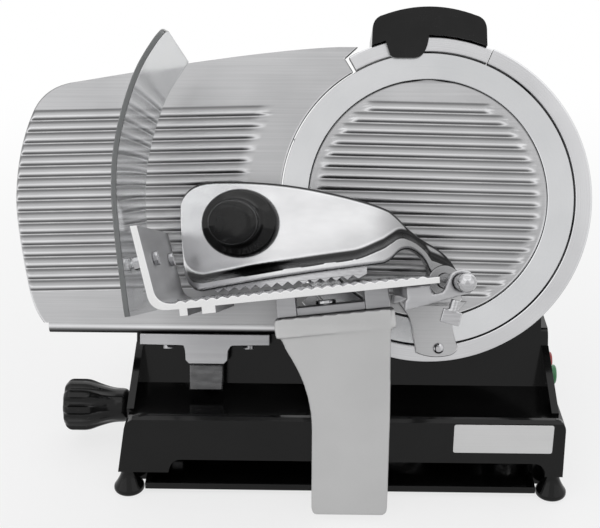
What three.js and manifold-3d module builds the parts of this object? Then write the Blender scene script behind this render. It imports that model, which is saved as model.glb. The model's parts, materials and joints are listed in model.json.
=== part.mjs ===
// Gravity-feed food slicer with a tilted round blade, as separate pieces at their real size.
// Millimetres, +Z up, X along the carriage travel, -Y towards the operator.
import * as THREE from 'three';
import { mergeVertices } from 'three/addons/utils/BufferGeometryUtils.js';
import ManifoldModule from 'manifold-3d';

const wasm = await ManifoldModule();
wasm.setup();

// Fits
const seatGap = 0.3; // between pieces that are bolted or glued together
const runGap = 0.5; // between a shaft, rod or pin and what it turns or slides in
const fingerGap = 2; // between the blade's edge and the guards round it

// Blade and head
const bladeDiameter = 250;
const bladeTilt = 25; // degrees that the blade plane leans back
const bladeBevel = 22; // width of the polished bevel
const bladeThickness = 3;
const bladeRecess = 5; // depth of the blade's face behind its edge
const guardWidth = 13.5;
const guardDepth = 14.5;
const guardProud = 0.5; // guard's face in front of the blade's edge
const ribPitch = 9.8; // ribs on the gauge plate and the blade cover
const ribWidth = 5.6;
const ribHeight = 1.6;
const coverThickness = 3.4;

// Base
const baseLeft = -260.6;
const baseRight = 113;
const baseFront = -119;
const baseRear = 150;
const footHeight = 22.6;
const footRadius = 13;
const baseTop = 76.8;
const wall = 4;
const deckFront = 71; // deck height just behind the front lip
const deckRear = 65.5; // deck height at the foot of the back wall
const backWall = 30; // back wall's distance behind the blade plane
const ridgeTop = 111;
const rearDeck = 75;
const towerRear = 90; // distance of the tower's open rear behind the blade plane
const towerRadius = 116;
const towerLeft = -52;
const towerRight = 103;
const slotLeft = -218; // front cut-out that the carriage arm enters
const slotRight = 99;
const slotTop = 35.8;
const panBottom = 5;
const panLip = 11;

// Drive
const spindleRadius = 8.5;
const bearingRadius = 20;
const bearingWidth = 12;
const bladePulleyRadius = 38;
const motorPulleyRadius = 14;
const pulleyWidth = 14;
const pulleyFront = 47; // distance of the pulleys behind the blade plane
const beltThickness = 3;
const motorU = 45;
const motorV = -100;
const motorRadius = 45.6;
const motorFront = 66;
const motorLength = 78;

// Gauge plate and its adjuster
const gaugeThickness = 5;
const gaugeLip = 13; // depth of the bent lower lip
const gaugeTravel = 14;
const gaugeRise = 7; // plate's lower edge above the blade's lowest point
const bracketDepth = 26; // from the plate's lower edge to the foot of the bracket
const sliderDepth = 22.5;
const sliderRodDrop = 8; // guide rod below the top of the slider
const sliderClear = 9.1; // slider above the deck at the foot of the back wall
const gaugeRodU = -189;
const gaugeRodRadius = 8;
const knobY = -30;
const knobZ = 35;
const knobRadius = 23;
const knobLength = 58;
const scrollStart = 8; // radius of the scroll groove at closed
const scrollTurn = 320; // degrees of the knob from closed to open
const followerRadius = 3;

// Carriage
const carriageRodY = -97;
const carriageRodZ = 46;
const carriageRodRadius = 7;
const carriageRodLeft = baseLeft + 10;
const carriageRodRight = baseRight - 4;
const railZ = [28, 51]; // bottom and top of the channel rail
const armFront = -155;
const armDepth = 24;
const armLeft = -97;
const armRight = -35;
const armBottom = 7;
const trayRoll = 6.3; // degrees that the tray leans down to the left
const trayU = -100; // a point on the tray's floor
const trayV = -76.6;
const trayLeft = -108;
const trayRight = 94;
const trayBack = 12;
const trayFront = 193;
const trayThickness = 4.5;
const trayWall = 58;
const trayRibPitch = 7.5;
const shieldThickness = 4;
const rodU = 9.5;
const rodV = -70;
const rodRadius = 6;
const ballRadius = 6.8;
const hubRadius = 13;
const hubBack = 14;
const hubLength = 44;
const pusherThickness = 6;
const pusherYaw = 9.5; // degrees that the pusher turns to the left

// Sharpener
const capBack = 64;
const capFront = 6;
const capWall = 3;
const capHalf = 49.5;
const capRise = 23.3; // top of the cap's arch above the guard
const capShoulder = 13.5; // top of the cap's sides above the guard
const stoneRise = 7; // stones' axes above the guard
const postSize = 12;
const sleeveWall = 2.5; // of the cap's sleeve that runs on the post
const sleeveLift = 3; // of the sleeve's foot over the tower
const postBack = 52;
const stoneRadius = 8;
const buttonRadius = 7.5;

const bladeRadius = bladeDiameter / 2;
const guardInner = bladeRadius + fingerGap;
const guardOuter = guardInner + guardWidth;
const coverRadius = bladeRadius - bladeBevel - 1;
const guardStart = 66.6; // degrees where the guard ends under the sharpener
const rad = THREE.MathUtils.degToRad;
const sinTilt = Math.sin(rad(bladeTilt));
const cosTilt = Math.cos(rad(bladeTilt));
const gaugeBottom = gaugeRise - bladeRadius;
const bossBottom = gaugeBottom - bracketDepth;
const blockBottom = bossBottom - sliderDepth;
const gaugeRodV = bossBottom - sliderRodDrop;
const bladeHeight = deckRear + sliderClear - blockBottom * cosTilt; // blade centre above the table
// A point of the head's plane, as parts of the blade's radius
const onHead = (u, v) => [u * bladeRadius, v * bladeRadius];

// Finishes, one new material for each piece
const finishes = {
  blackPaint: { color: 0x0b0b0c, roughness: 0.18, metalness: 0.0 },
  blackPlastic: { color: 0x101011, roughness: 0.3, metalness: 0.0 },
  castAluminium: { color: 0xb9bbbd, roughness: 0.32, metalness: 1.0 },
  polishedAluminium: { color: 0xd3d5d7, roughness: 0.16, metalness: 1.0 },
  bladeSteel: { color: 0xdfe1e3, roughness: 0.1, metalness: 1.0 },
  steel: { color: 0x9a9da1, roughness: 0.28, metalness: 1.0 },
  bronze: { color: 0xa9793f, roughness: 0.35, metalness: 1.0 },
  rubber: { color: 0x151515, roughness: 0.8, metalness: 0.0 },
  nylon: { color: 0xd8d6cc, roughness: 0.5, metalness: 0.0 },
  clear: { color: 0xe8eef0, roughness: 0.05, metalness: 0.0, transparent: true, opacity: 0.35 },
  stone: { color: 0x8d4a3c, roughness: 0.95, metalness: 0.0 },
  green: { color: 0x1f7a3d, roughness: 0.4, metalness: 0.0 },
  red: { color: 0xa61d1d, roughness: 0.4, metalness: 0.0 },
};

// Solids: a closed mesh becomes a body that can be joined and cut
function solid(geometry) {
  const bare = geometry.clone();
  for (const name of Object.keys(bare.attributes)) {
    if (name !== 'position') bare.deleteAttribute(name);
  }
  const merged = mergeVertices(bare, 1e-4);
  const index = Array.from(merged.index.array);
  const triangles = [];
  for (let i = 0; i < index.length; i += 3) {
    const [a, b, c] = index.slice(i, i + 3);
    if (a !== b && b !== c && c !== a) triangles.push(a, b, c);
  }
  return new wasm.Manifold(new wasm.Mesh({
    numProp: 3,
    vertProperties: new Float32Array(merged.attributes.position.array),
    triVerts: new Uint32Array(triangles),
  }));
}

function geometryOf(body) {
  const mesh = body.getMesh();
  const geometry = new THREE.BufferGeometry();
  geometry.setAttribute('position', new THREE.BufferAttribute(mesh.vertProperties, 3));
  geometry.setIndex(new THREE.BufferAttribute(mesh.triVerts, 1));
  geometry.computeVertexNormals();
  return geometry;
}

function join(...geometries) {
  return geometryOf(geometries.map(solid).reduce((whole, next) => whole.add(next)));
}

function cut(geometry, ...tools) {
  return geometryOf(tools.map(solid).reduce((whole, tool) => whole.subtract(tool), solid(geometry)));
}

function overlap(first, second) {
  return geometryOf(solid(first).intersect(solid(second)));
}

function box(x0, x1, y0, y1, z0, z1) {
  const geometry = new THREE.BoxGeometry(x1 - x0, y1 - y0, z1 - z0);
  return geometry.translate((x0 + x1) / 2, (y0 + y1) / 2, (z0 + z1) / 2);
}

function shapeOf(points) {
  return new THREE.Shape(points.map(([x, y]) => new THREE.Vector2(x, y)));
}

function prism(shape, z0, z1, curveSegments = 8) {
  const geometry = new THREE.ExtrudeGeometry(shape, { depth: z1 - z0, bevelEnabled: false, curveSegments });
  return geometry.translate(0, 0, z0);
}

// A side profile (Y, Z) drawn out along X
function prismX(shape, x0, x1, curveSegments = 8) {
  const toX = new THREE.Matrix4().makeBasis(
    new THREE.Vector3(0, 1, 0), new THREE.Vector3(0, 0, 1), new THREE.Vector3(1, 0, 0));
  return prism(shape, x0, x1, curveSegments).applyMatrix4(toX);
}

// A front outline (X, Z) drawn out along Y
function prismY(shape, y0, y1, curveSegments = 8) {
  const toY = new THREE.Matrix4().makeBasis(
    new THREE.Vector3(1, 0, 0), new THREE.Vector3(0, 0, 1), new THREE.Vector3(0, -1, 0));
  return prism(shape, -y1, -y0, curveSegments).applyMatrix4(toY);
}

// A turned piece: profile of (radius, height) points, its axis along +Z
function turned(points, segments = 24) {
  const profile = points.map(([r, h]) => new THREE.Vector2(r, h));
  return new THREE.LatheGeometry(profile, segments).rotateX(Math.PI / 2);
}

function rod(radius, z0, z1, segments = 16) {
  return turned([[0, z0], [radius, z0], [radius, z1], [0, z1]], segments);
}

function ring(inner, outer, z0, z1, segments = 20) {
  return turned([[inner, z0], [outer, z0], [outer, z1], [inner, z1], [inner, z0]], segments);
}

function alongX(geometry, y, z) {
  return geometry.rotateY(Math.PI / 2).translate(0, y, z);
}

function alongY(geometry, x, z) {
  return geometry.rotateX(-Math.PI / 2).translate(x, 0, z);
}

function polar(radius, degrees) {
  return [radius * Math.cos(rad(degrees)), radius * Math.sin(rad(degrees))];
}

function arcPoints(radius, from, to, steps) {
  return Array.from({ length: steps + 1 }, (_, i) => polar(radius, from + ((to - from) * i) / steps));
}

// A flat ring sector round the blade axis
function sector(inner, outer, from, to, z0, z1, steps) {
  const points = [...arcPoints(outer, from, to, steps), ...arcPoints(inner, to, from, steps)];
  return prism(shapeOf(points), z0, z1);
}

// A rib with a low arched section that runs along X, its flat on z = 0
function rib(x0, x1, y, z) {
  const arch = [[-1, -0.3], [-0.8, 0.45], [-0.3, 1], [0.3, 1], [0.8, 0.45], [1, -0.3]];
  const shape = shapeOf(arch.map(([a, b]) => [(a * ribWidth) / 2, b * ribHeight]));
  return prismX(shape, x0, x1).translate(0, y, z);
}

const slicer = new THREE.Group();

// The head's frame: x to the right, y up the blade plane, z out of it towards the operator
const head = new THREE.Group();
head.rotation.x = Math.PI / 2 - rad(bladeTilt);
head.position.set(0, 0, bladeHeight);
slicer.add(head);
head.updateMatrixWorld(true);

function fromHead(geometry) {
  return geometry.applyMatrix4(head.matrixWorld);
}

function headY(v, w) {
  return v * sinTilt - w * cosTilt;
}

function headZ(v, w) {
  return bladeHeight + v * cosTilt + w * sinTilt;
}

function headV(y, z) {
  return y * sinTilt + (z - bladeHeight) * cosTilt;
}

function headW(y, z) {
  return -y * cosTilt + (z - bladeHeight) * sinTilt;
}

// The tray's frame lies in the head's, rolled down to the left
const trayFrame = new THREE.Group();
trayFrame.position.set(trayU, trayV, 0);
trayFrame.rotation.z = rad(trayRoll);
head.add(trayFrame);
trayFrame.updateMatrix();

function addPart(name, geometry, finish, parent = slicer) {
  const mesh = new THREE.Mesh(geometry, new THREE.MeshStandardMaterial(finishes[finish]));
  mesh.name = name;
  parent.add(mesh);
}

// Base housing: a cast shell, open below, with the deck, the back wall and the blade tower
const baseBottom = footHeight + seatGap;
const sideDraft = 7.3; // how far the left side leans in
const postDepth = 22; // solid corners over the feet
// Where a plane parallel to the blade, w in front of it, passes the height z
function planeY(z, w) {
  const v = (z - bladeHeight - w * sinTilt) / cosTilt;
  return headY(v, w);
}
const deckWallY = planeY(deckRear, -backWall);
const ridgeTopY = planeY(ridgeTop, -backWall);
const ridgeFootY = planeY(rearDeck, -towerRear) + 0.9;
const ridgeRearY = ridgeFootY - 22;

function frontOutline(inset) {
  const left = baseLeft + inset;
  const right = baseRight - inset;
  const top = baseTop;
  const shape = new THREE.Shape();
  shape.moveTo(left, baseBottom);
  shape.lineTo(left + sideDraft, top - 11);
  shape.quadraticCurveTo(left + sideDraft + 2, top, left + sideDraft + 22, top);
  shape.lineTo(right - 10, top);
  shape.quadraticCurveTo(right - 1, top, right - 1, top - 10);
  shape.lineTo(right, baseBottom);
  shape.closePath();
  return shape;
}

function towerOutline(inset, bottom) {
  const radius = towerRadius - inset;
  const points = arcPoints(radius, -28, 97, 14);
  const left = towerLeft + inset;
  const right = towerRight - inset;
  return shapeOf([[left, bottom], [right, bottom], ...points, [left, 62]]);
}

function baseHousing() {
  const edge = 5;
  const lipDepth = 6;
  const profile = shapeOf([
    [baseFront, baseBottom], [baseFront, baseTop - edge / 2], [baseFront + edge / 2, baseTop],
    [baseFront + lipDepth, baseTop], [baseFront + lipDepth + 1.5, deckFront],
    [deckWallY, deckRear], [ridgeFootY, rearDeck],
    [baseRear - edge, rearDeck], [baseRear, rearDeck - edge], [baseRear, baseBottom],
  ]);
  const baseOuter = overlap(
    prismX(profile, baseLeft - 1, baseRight + 1),
    prismY(frontOutline(0), baseFront - 1, baseRear + 1));
  const cheek = 6;
  const cheekLeft = baseLeft + sideDraft;
  const cheekRight = baseRight - 1;
  const cheekProfile = shapeOf([
    [baseFront + 20, deckFront - 10], [baseFront + 20, deckFront + 2], [ridgeTopY - 8, ridgeTop - 12],
    [ridgeTopY, deckFront - 10],
  ]);
  const ridgeProfile = shapeOf([
    [deckWallY - 5, deckRear - 12], [deckWallY, deckRear], [ridgeTopY - 1.5, ridgeTop - 3],
    [ridgeTopY + 3, ridgeTop], [ridgeRearY, ridgeTop],
    [ridgeFootY, rearDeck - 2], [ridgeFootY, deckRear - 12],
  ]);
  const ridge = prismX(ridgeProfile, cheekLeft, cheekRight - 3);
  const tower = fromHead(prism(towerOutline(0, -135), -towerRear, -backWall));
  const hoodRear = -motorFront - motorLength - wall - 2;
  const motorHood = rod(motorRadius + seatGap + wall, hoodRear, -backWall - 1, 40);
  const hump = fromHead(motorHood.translate(motorU, motorV, 0));
  const outer = join(
    baseOuter, ridge, tower, hump,
    prismX(cheekProfile, cheekLeft, cheekLeft + cheek),
    prismX(cheekProfile, cheekRight - cheek - 3, cheekRight - 3));

  const floorProfile = shapeOf([
    [baseFront + wall, 0], [baseFront + wall, deckFront - wall], [deckWallY - 1, deckRear - wall],
    [ridgeFootY, deckRear - wall], [baseRear - wall, rearDeck - wall - 3], [baseRear - wall, 0],
  ]);
  const hollowFootY = planeY(deckRear - 5, -backWall - wall);
  const ridgeHollow = shapeOf([
    [hollowFootY, deckRear - 15], [hollowFootY, deckRear - 5],
    [planeY(ridgeTop - wall, -backWall - wall), ridgeTop - wall], [ridgeRearY - 3, ridgeTop - wall],
    [ridgeFootY - 5, rearDeck - 4], [ridgeFootY - 5, deckRear - 15],
  ]);
  const hollowLeft = baseLeft + sideDraft + wall;
  const hollowRight = baseRight - 1 - wall;
  const slot = new THREE.Shape();
  const slotRound = 11;
  slot.moveTo(slotLeft, baseBottom - 5);
  slot.lineTo(slotLeft, baseBottom);
  slot.quadraticCurveTo(slotLeft + 2, slotTop, slotLeft + slotRound, slotTop);
  slot.lineTo(slotRight - slotRound, slotTop);
  slot.quadraticCurveTo(slotRight - 2, slotTop, slotRight, baseBottom);
  slot.lineTo(slotRight, baseBottom - 5);
  slot.closePath();
  const hollowed = cut(
    outer,
    prismX(floorProfile, hollowLeft, hollowRight),
    prismX(ridgeHollow, hollowLeft + 3, hollowRight - 4),
    fromHead(prism(towerOutline(wall, -150), -towerRear - 5, -backWall - wall)),
    fromHead(rod(motorRadius + seatGap, -motorFront - motorLength - 2, -backWall - wall, 40)
      .translate(motorU, motorV, 0)),
    prismY(slot, baseFront - 5, baseFront + wall + 2));

  const corners = [];
  for (const [x0, x1] of [[baseLeft - 1, baseLeft + postDepth], [baseRight - 15, baseRight + 1]]) {
    for (const [y0, y1] of [[baseFront, baseFront + postDepth], [baseRear - postDepth, baseRear]]) {
      corners.push(overlap(baseOuter, box(x0, x1, y0, y1, baseBottom - 1, deckRear - 6)));
    }
  }
  const gaugeHole = fromHead(rod(gaugeRodRadius + runGap, -backWall - 12, -backWall + 12)
    .translate(gaugeRodU, gaugeRodV, 0));
  const spindleHole = fromHead(rod(bearingRadius + 6 + seatGap, -backWall - 6, -backWall + 6, 40));
  const knobHole = alongX(rod(6 + runGap, baseLeft - 5, baseLeft + 30), knobY, knobZ);
  const rodSeat = rod(carriageRodRadius + seatGap, carriageRodLeft - seatGap, carriageRodRight + seatGap);
  const rodHoles = alongX(rodSeat, carriageRodY, carriageRodZ);
  return cut(join(hollowed, ...corners), gaugeHole, spindleHole, knobHole, rodHoles);
}
addPart('base_housing', baseHousing(), 'blackPaint');

// Bottom pan: a folded sheet under the base, its front lip below the cut-out
function bottomPan() {
  const sheet = 2;
  const left = baseLeft + 25;
  const right = baseRight - 21.5;
  const front = baseFront + 1.5;
  const rear = baseRear - wall - seatGap;
  const rim = railZ[0] - 2;
  return cut(
    box(left, right, front, rear, panBottom, rim),
    box(left + sheet, right - sheet, front + sheet, rear - sheet, panBottom + sheet, rim + 1),
    box(left - 1, right + 1, front - 1, baseFront + postDepth + 3, panLip, rim + 1));
}
addPart('bottom_pan', bottomPan(), 'blackPaint');

// Feet: flared, turned from bar
const footX = [baseLeft + 7.5, baseRight - 7.4];
const footY = [baseFront + 8.2, baseRear - 12];
function foot() {
  return turned([
    [0, 0], [footRadius - 3, 0], [footRadius, 4], [footRadius - 0.4, 8], [footRadius - 3.5, 12.5],
    [footRadius - 6, 17], [footRadius - 6.6, footHeight], [0, footHeight],
  ], 16);
}
[['front', 0], ['rear', 1]].forEach(([depth, j]) => {
  ['left', 'right'].forEach((side, i) => {
    addPart(`foot_${depth}_${side}`, foot().translate(footX[i], footY[j], 0), 'blackPaint');
  });
});

// Blank rating plate on the front panel
addPart('rating_plate',
  box(20, 102, baseFront - seatGap - 0.6, baseFront - seatGap, 46.5, 73.5), 'castAluminium');

// Ring guard, with three lugs that seat on the tower
function ringGuard() {
  const face = guardProud;
  const back = guardProud - guardDepth;
  const lugs = [-62, -10, 50].map((angle) => {
    const lug = box(towerRadius - 14, guardOuter - 3, -9, 9, -backWall + seatGap, back + 1);
    return lug.rotateZ(rad(angle));
  });
  return join(sector(guardInner, guardOuter, -140, guardStart, back, face, 44), ...lugs);
}
addPart('ring_guard', ringGuard(), 'polishedAluminium', head);

// Blade: dished disc with a polished bevel, on its spindle flange
const bladeBack = bladeRecess + bladeThickness;
const flangeRadius = 30;
function blade() {
  const bevelFoot = bladeRadius - bladeBevel;
  return turned([
    [spindleRadius + runGap, -bladeBack], [bevelFoot + 2, -bladeBack], [bladeRadius - 7, -4],
    [bladeRadius, -0.6], [bladeRadius - 0.4, -0.2], [bevelFoot, -2.4], [bevelFoot - 1, -bladeRecess],
    [spindleRadius + runGap, -bladeRecess], [spindleRadius + runGap, -bladeBack],
  ], 60);
}
addPart('blade', blade(), 'bladeSteel', head);

const spindleEnd = pulleyFront + pulleyWidth + 4;
addPart('spindle', turned([
  [0, -spindleEnd], [spindleRadius, -spindleEnd], [spindleRadius, -bladeBack - 5],
  [flangeRadius, -bladeBack - 5], [flangeRadius, -bladeBack - seatGap],
  [spindleRadius, -bladeBack - seatGap], [spindleRadius, -bladeRecess], [0, -bladeRecess],
], 20), 'steel', head);

function pulley(radius, bore) {
  const flangeHeight = beltThickness + 1;
  const back = -pulleyFront - pulleyWidth;
  const front = -pulleyFront;
  return turned([
    [bore, back], [radius + flangeHeight, back], [radius + flangeHeight, back + 2], [radius, back + 2],
    [radius, front - 2], [radius + flangeHeight, front - 2], [radius + flangeHeight, front], [bore, front],
    [bore, back],
  ], 20);
}
addPart('blade_pulley', pulley(bladePulleyRadius, spindleRadius + seatGap), 'castAluminium', head);

// Bearing housing: a flanged tube through the tower's front wall, with two bearings
const housingFront = backWall - 14;
const bearingSeat = bearingRadius + seatGap;
addPart('spindle_housing', turned([
  [bearingSeat, -backWall - wall - 10], [bearingSeat + 12, -backWall - wall - 10],
  [bearingSeat + 12, -backWall - wall - seatGap], [bearingRadius + 6, -backWall - wall - seatGap],
  [bearingRadius + 6, -housingFront], [bearingSeat, -housingFront],
  [bearingSeat, -backWall - wall - 10],
], 24), 'castAluminium', head);
['front', 'rear'].forEach((place, i) => {
  const z1 = -housingFront - 1 - i * (bearingWidth + 2);
  addPart(`bearing_${place}`,
    ring(spindleRadius + seatGap, bearingRadius, z1 - bearingWidth, z1), 'steel', head);
});

// Motor, its pulley turned on the shaft, and the flat belt to the spindle
const motorFrame = new THREE.Group();
motorFrame.position.set(motorU, motorV, 0);
head.add(motorFrame);
const motorShaftRadius = 6;
const shaftDepth = 22;
addPart('motor', cut(
  rod(motorRadius, -motorFront - motorLength, -motorFront, 32),
  rod(motorShaftRadius + runGap, -motorFront - shaftDepth - 1, -motorFront + 1)), 'steel', motorFrame);
addPart('motor_pulley', join(
  rod(motorShaftRadius, -motorFront - shaftDepth, -pulleyFront + 2),
  pulley(motorPulleyRadius, motorShaftRadius - 1)), 'steel', motorFrame);

function beltLoop(clearance) {
  const span = Math.hypot(motorU, motorV);
  const aim = Math.atan2(motorV, motorU);
  const lean = Math.acos((bladePulleyRadius - motorPulleyRadius) / span);
  const points = [];
  const steps = 12;
  const sweep = (cx, cy, radius, from, to) => {
    for (let i = 0; i <= steps; i += 1) {
      const angle = from + ((to - from) * i) / steps;
      points.push([cx + radius * Math.cos(angle), cy + radius * Math.sin(angle)]);
    }
  };
  sweep(0, 0, bladePulleyRadius + clearance, aim + lean, aim + 2 * Math.PI - lean);
  sweep(motorU, motorV, motorPulleyRadius + clearance, aim - lean, aim + lean);
  return points;
}
function driveBelt() {
  const shape = shapeOf(beltLoop(seatGap + beltThickness));
  shape.holes.push(new THREE.Path(beltLoop(seatGap + 0.4).map(([x, y]) => new THREE.Vector2(x, y))));
  return prism(shape, -pulleyFront - pulleyWidth + 2.6, -pulleyFront - 2.6);
}
addPart('drive_belt', driveBelt(), 'rubber', head);

// Rear cover: closes the tower behind the spindle, cut round the motor housing
function rearCover() {
  const deckClear = 1.1; // above the rear deck
  const back = -towerRear - 4;
  const bottom = (rearDeck + deckClear - bladeHeight - back * sinTilt) / cosTilt;
  const hump = rod(motorRadius + seatGap + wall + 0.8, -towerRear - 20, 0, 40).translate(motorU, motorV, 0);
  return cut(prism(towerOutline(0, bottom), back, -towerRear - seatGap), hump);
}
addPart('rear_cover', rearCover(), 'blackPaint', head);

// Blade cover: ribbed disc in the blade's dish, with a tab over the guard
const coverBack = -bladeRecess + 0.9;
const coverFace = coverBack + coverThickness;
const tabBack = guardProud + seatGap;
const tabFace = tabBack + 3.2;
const coverScrew = onHead(0.0792, -1.0248);
function bladeCover() {
  const ribEnd = coverRadius - 7.5;
  const ribs = [];
  const count = Math.floor((2 * 0.775 * coverRadius) / ribPitch);
  for (let i = 0; i <= count; i += 1) {
    const y = (i - count / 2) * ribPitch;
    const half = Math.sqrt(ribEnd ** 2 - y ** 2);
    ribs.push(rib(-half, half, y, coverFace));
  }
  const tab = new THREE.Shape();
  tab.moveTo(...onHead(-0.208, -0.704));
  tab.quadraticCurveTo(...onHead(-0.096, -0.824), ...onHead(-0.1, -0.912));
  tab.lineTo(...onHead(-0.076, -1.056));
  tab.quadraticCurveTo(...onHead(0.0384, -1.104), ...onHead(0.16, -1.072));
  tab.quadraticCurveTo(...onHead(0.216, -1.048), ...onHead(0.208, -1.008));
  tab.quadraticCurveTo(...onHead(0.16, -0.88), ...onHead(0.176, -0.8));
  tab.lineTo(...onHead(0.272, -0.704));
  tab.closePath();
  const disc = rod(coverRadius, coverBack, coverFace, 56);
  const screwHole = rod(3 + seatGap, -1, 10, 16).translate(...coverScrew, 0);
  const bridge = shapeOf([
    onHead(-0.192, -0.672), onHead(-0.16, -0.744), onHead(0.208, -0.744), onHead(0.24, -0.672),
  ]);
  const fixing = join(prism(tab, tabBack, tabFace), prism(bridge, coverBack, tabFace));
  return cut(join(disc, ...ribs, fixing), screwHole);
}
addPart('blade_cover', bladeCover(), 'castAluminium', head);
addPart('cover_screw', turned([
  [0, tabBack], [3, tabBack], [3, tabFace + seatGap], [4.7, tabFace + seatGap],
  [4.4, tabFace + 1.8], [2.6, tabFace + 2.8], [0, tabFace + 3.1],
], 12).translate(...coverScrew, 0), 'steel', head);

// Sharpener: post on the tower, aluminium base that closes the guard, black cap, two stones
const capArc = guardOuter - 1.2;
const carrierTop = guardOuter - 4;
const capRoof = guardOuter + capRise - capWall; // underside of the cap's arch
const sleeveBore = postSize / 2 + runGap;
const sleeveHalf = sleeveBore + sleeveWall;
function aboutPost(half, low, high) {
  return box(-half, half, low, high, -postBack - half, -postBack + half);
}
addPart('sharpener_post', aboutPost(postSize / 2, towerRadius + seatGap, capRoof - 1.5), 'steel', head);
function sharpenerBase() {
  const back = guardProud - guardDepth;
  const arc = sector(guardInner, capArc, guardStart + 0.4, 119.4, back, guardProud, 16);
  const carrier = box(-30, 30, carrierTop - 7, carrierTop, -capBack + 4, back + 2);
  return cut(join(arc, carrier), aboutPost(sleeveHalf + runGap, carrierTop - 20, carrierTop + 20));
}
addPart('sharpener_base', sharpenerBase(), 'polishedAluminium', head);

function capOutline(inset, bottom) {
  const half = capHalf - inset;
  const crown = guardOuter + capRise - inset;
  const shoulder = guardOuter + capShoulder - inset;
  const shape = new THREE.Shape();
  shape.moveTo(-half, bottom);
  shape.lineTo(-half + 0.7, shoulder - 9);
  shape.quadraticCurveTo(-half + 1.5, shoulder, -half + 9.5, shoulder + 2.3);
  shape.quadraticCurveTo(-20, crown, 0, crown);
  shape.quadraticCurveTo(20, crown, half - 9.5, shoulder + 2.3);
  shape.quadraticCurveTo(half - 1.5, shoulder, half - 0.7, shoulder - 9);
  shape.lineTo(half, bottom);
  shape.closePath();
  return shape;
}
const stones = [
  { name: 'sharpening', u: 22, v: guardOuter + stoneRise, front: -19 },
  { name: 'honing', u: -22, v: guardOuter + stoneRise, front: -33 },
];
const stoneStem = 3;
function sharpenerCap() {
  const shell = cut(
    prism(capOutline(0, guardInner - 2), -capBack, capFront),
    prism(capOutline(capWall, guardInner - 12), -capBack + capWall, guardProud + runGap),
    rod(capArc + seatGap, -capBack - 1, capFront + 1, 72));
  const tongue = new THREE.Shape();
  const tongueTop = guardOuter + capShoulder - 9;
  const tongueEnd = bladeRadius - 5.4;
  tongue.moveTo(-41, tongueTop);
  tongue.lineTo(-34, tongueEnd + 3.5);
  tongue.quadraticCurveTo(-32.5, tongueEnd, -27, tongueEnd);
  tongue.lineTo(-14, tongueEnd);
  tongue.quadraticCurveTo(-7, tongueEnd, -4, tongueEnd + 6);
  tongue.quadraticCurveTo(-0.5, tongueEnd + 12, 0, tongueTop);
  tongue.closePath();
  const hole = rod(stoneStem + runGap, -capBack - 2, -capBack + capWall + 3, 16);
  const holes = stones.map(({ u, v }) => hole.clone().translate(u, v, 0));
  const sleeve = aboutPost(sleeveHalf, towerRadius + sleeveLift, capRoof + 1);
  const bore = aboutPost(sleeveBore, towerRadius, capRoof - 0.5);
  return cut(join(shell, sleeve, prism(tongue, guardProud + runGap, capFront)), bore, ...holes);
}
addPart('sharpener_cap', sharpenerCap(), 'blackPlastic', head);
stones.forEach(({ name, u, v, front }) => {
  const back = front - 7;
  addPart(`${name}_stone`, ring(stoneStem + seatGap, stoneRadius, back, front, 14)
    .translate(u, v, 0), 'stone', head);
  addPart(`${name}_button`, turned([
    [0, -capBack - 17], [buttonRadius - 1, -capBack - 17], [buttonRadius, -capBack - 16],
    [buttonRadius, -capBack - 8], [stoneStem, -capBack - 8], [stoneStem, front], [0, front],
  ], 14).translate(u, v, 0), 'blackPlastic', head);
});

// Gauge plate: ribbed, with its concave edge round the blade and a lip bent back below
const gaugeFace = -0.6;
const gaugeBack = gaugeFace - gaugeThickness;
const gaugeRight = -bladeRadius;
function gaugeOutline() {
  const shape = new THREE.Shape();
  shape.moveTo(-2.56 * bladeRadius, gaugeBottom);
  shape.quadraticCurveTo(...onHead(-2.696, -0.864), ...onHead(-2.748, -0.624));
  shape.quadraticCurveTo(...onHead(-2.8448, -0.176), ...onHead(-2.84, 0));
  shape.quadraticCurveTo(...onHead(-2.8352, 0.32), ...onHead(-2.736, 0.56));
  shape.quadraticCurveTo(...onHead(-2.672, 0.736), ...onHead(-2.48, 0.78));
  shape.lineTo(...onHead(-1.6768, 0.9176));
  shape.quadraticCurveTo(...onHead(-0.88, 1.04), ...polar(guardOuter + 3.25, 114.9));
  shape.lineTo(...polar(guardOuter - 0.7, 121));
  const edge = arcPoints(guardInner, 120.9, 214, 20);
  for (const [x, y] of edge) shape.lineTo(x, y);
  shape.lineTo(gaugeRight, gaugeBottom);
  shape.closePath();
  return shape;
}
function gaugePlate() {
  const plate = prism(gaugeOutline(), gaugeBack, gaugeFace, 5);
  const ribEnd = guardInner + 31;
  const ribs = [];
  for (let i = 0; i < 16; i += 1) {
    const y = 0.572 * bladeRadius - i * ribPitch;
    const bow = Math.sqrt(Math.max(0, 1 - (y / (0.68 * bladeRadius)) ** 2));
    const left = (-2.688 - 0.096 * bow) * bladeRadius;
    ribs.push(rib(left, -Math.sqrt(ribEnd ** 2 - y ** 2), y, gaugeFace));
  }
  const lip = prismX(shapeOf([
    [gaugeBottom, gaugeFace - 1.5], [gaugeBottom + 2, gaugeFace], [gaugeBottom + 6, gaugeFace],
    [gaugeBottom + 6, gaugeBack], [gaugeBottom + 4, gaugeBack - 2], [gaugeBottom + 4, -gaugeLip],
    [gaugeBottom, -gaugeLip],
  ]), -2.552 * bladeRadius, gaugeRight - 1);
  return join(plate, ...ribs, lip);
}
addPart('gauge_plate', gaugePlate(), 'castAluminium', head);

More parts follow.
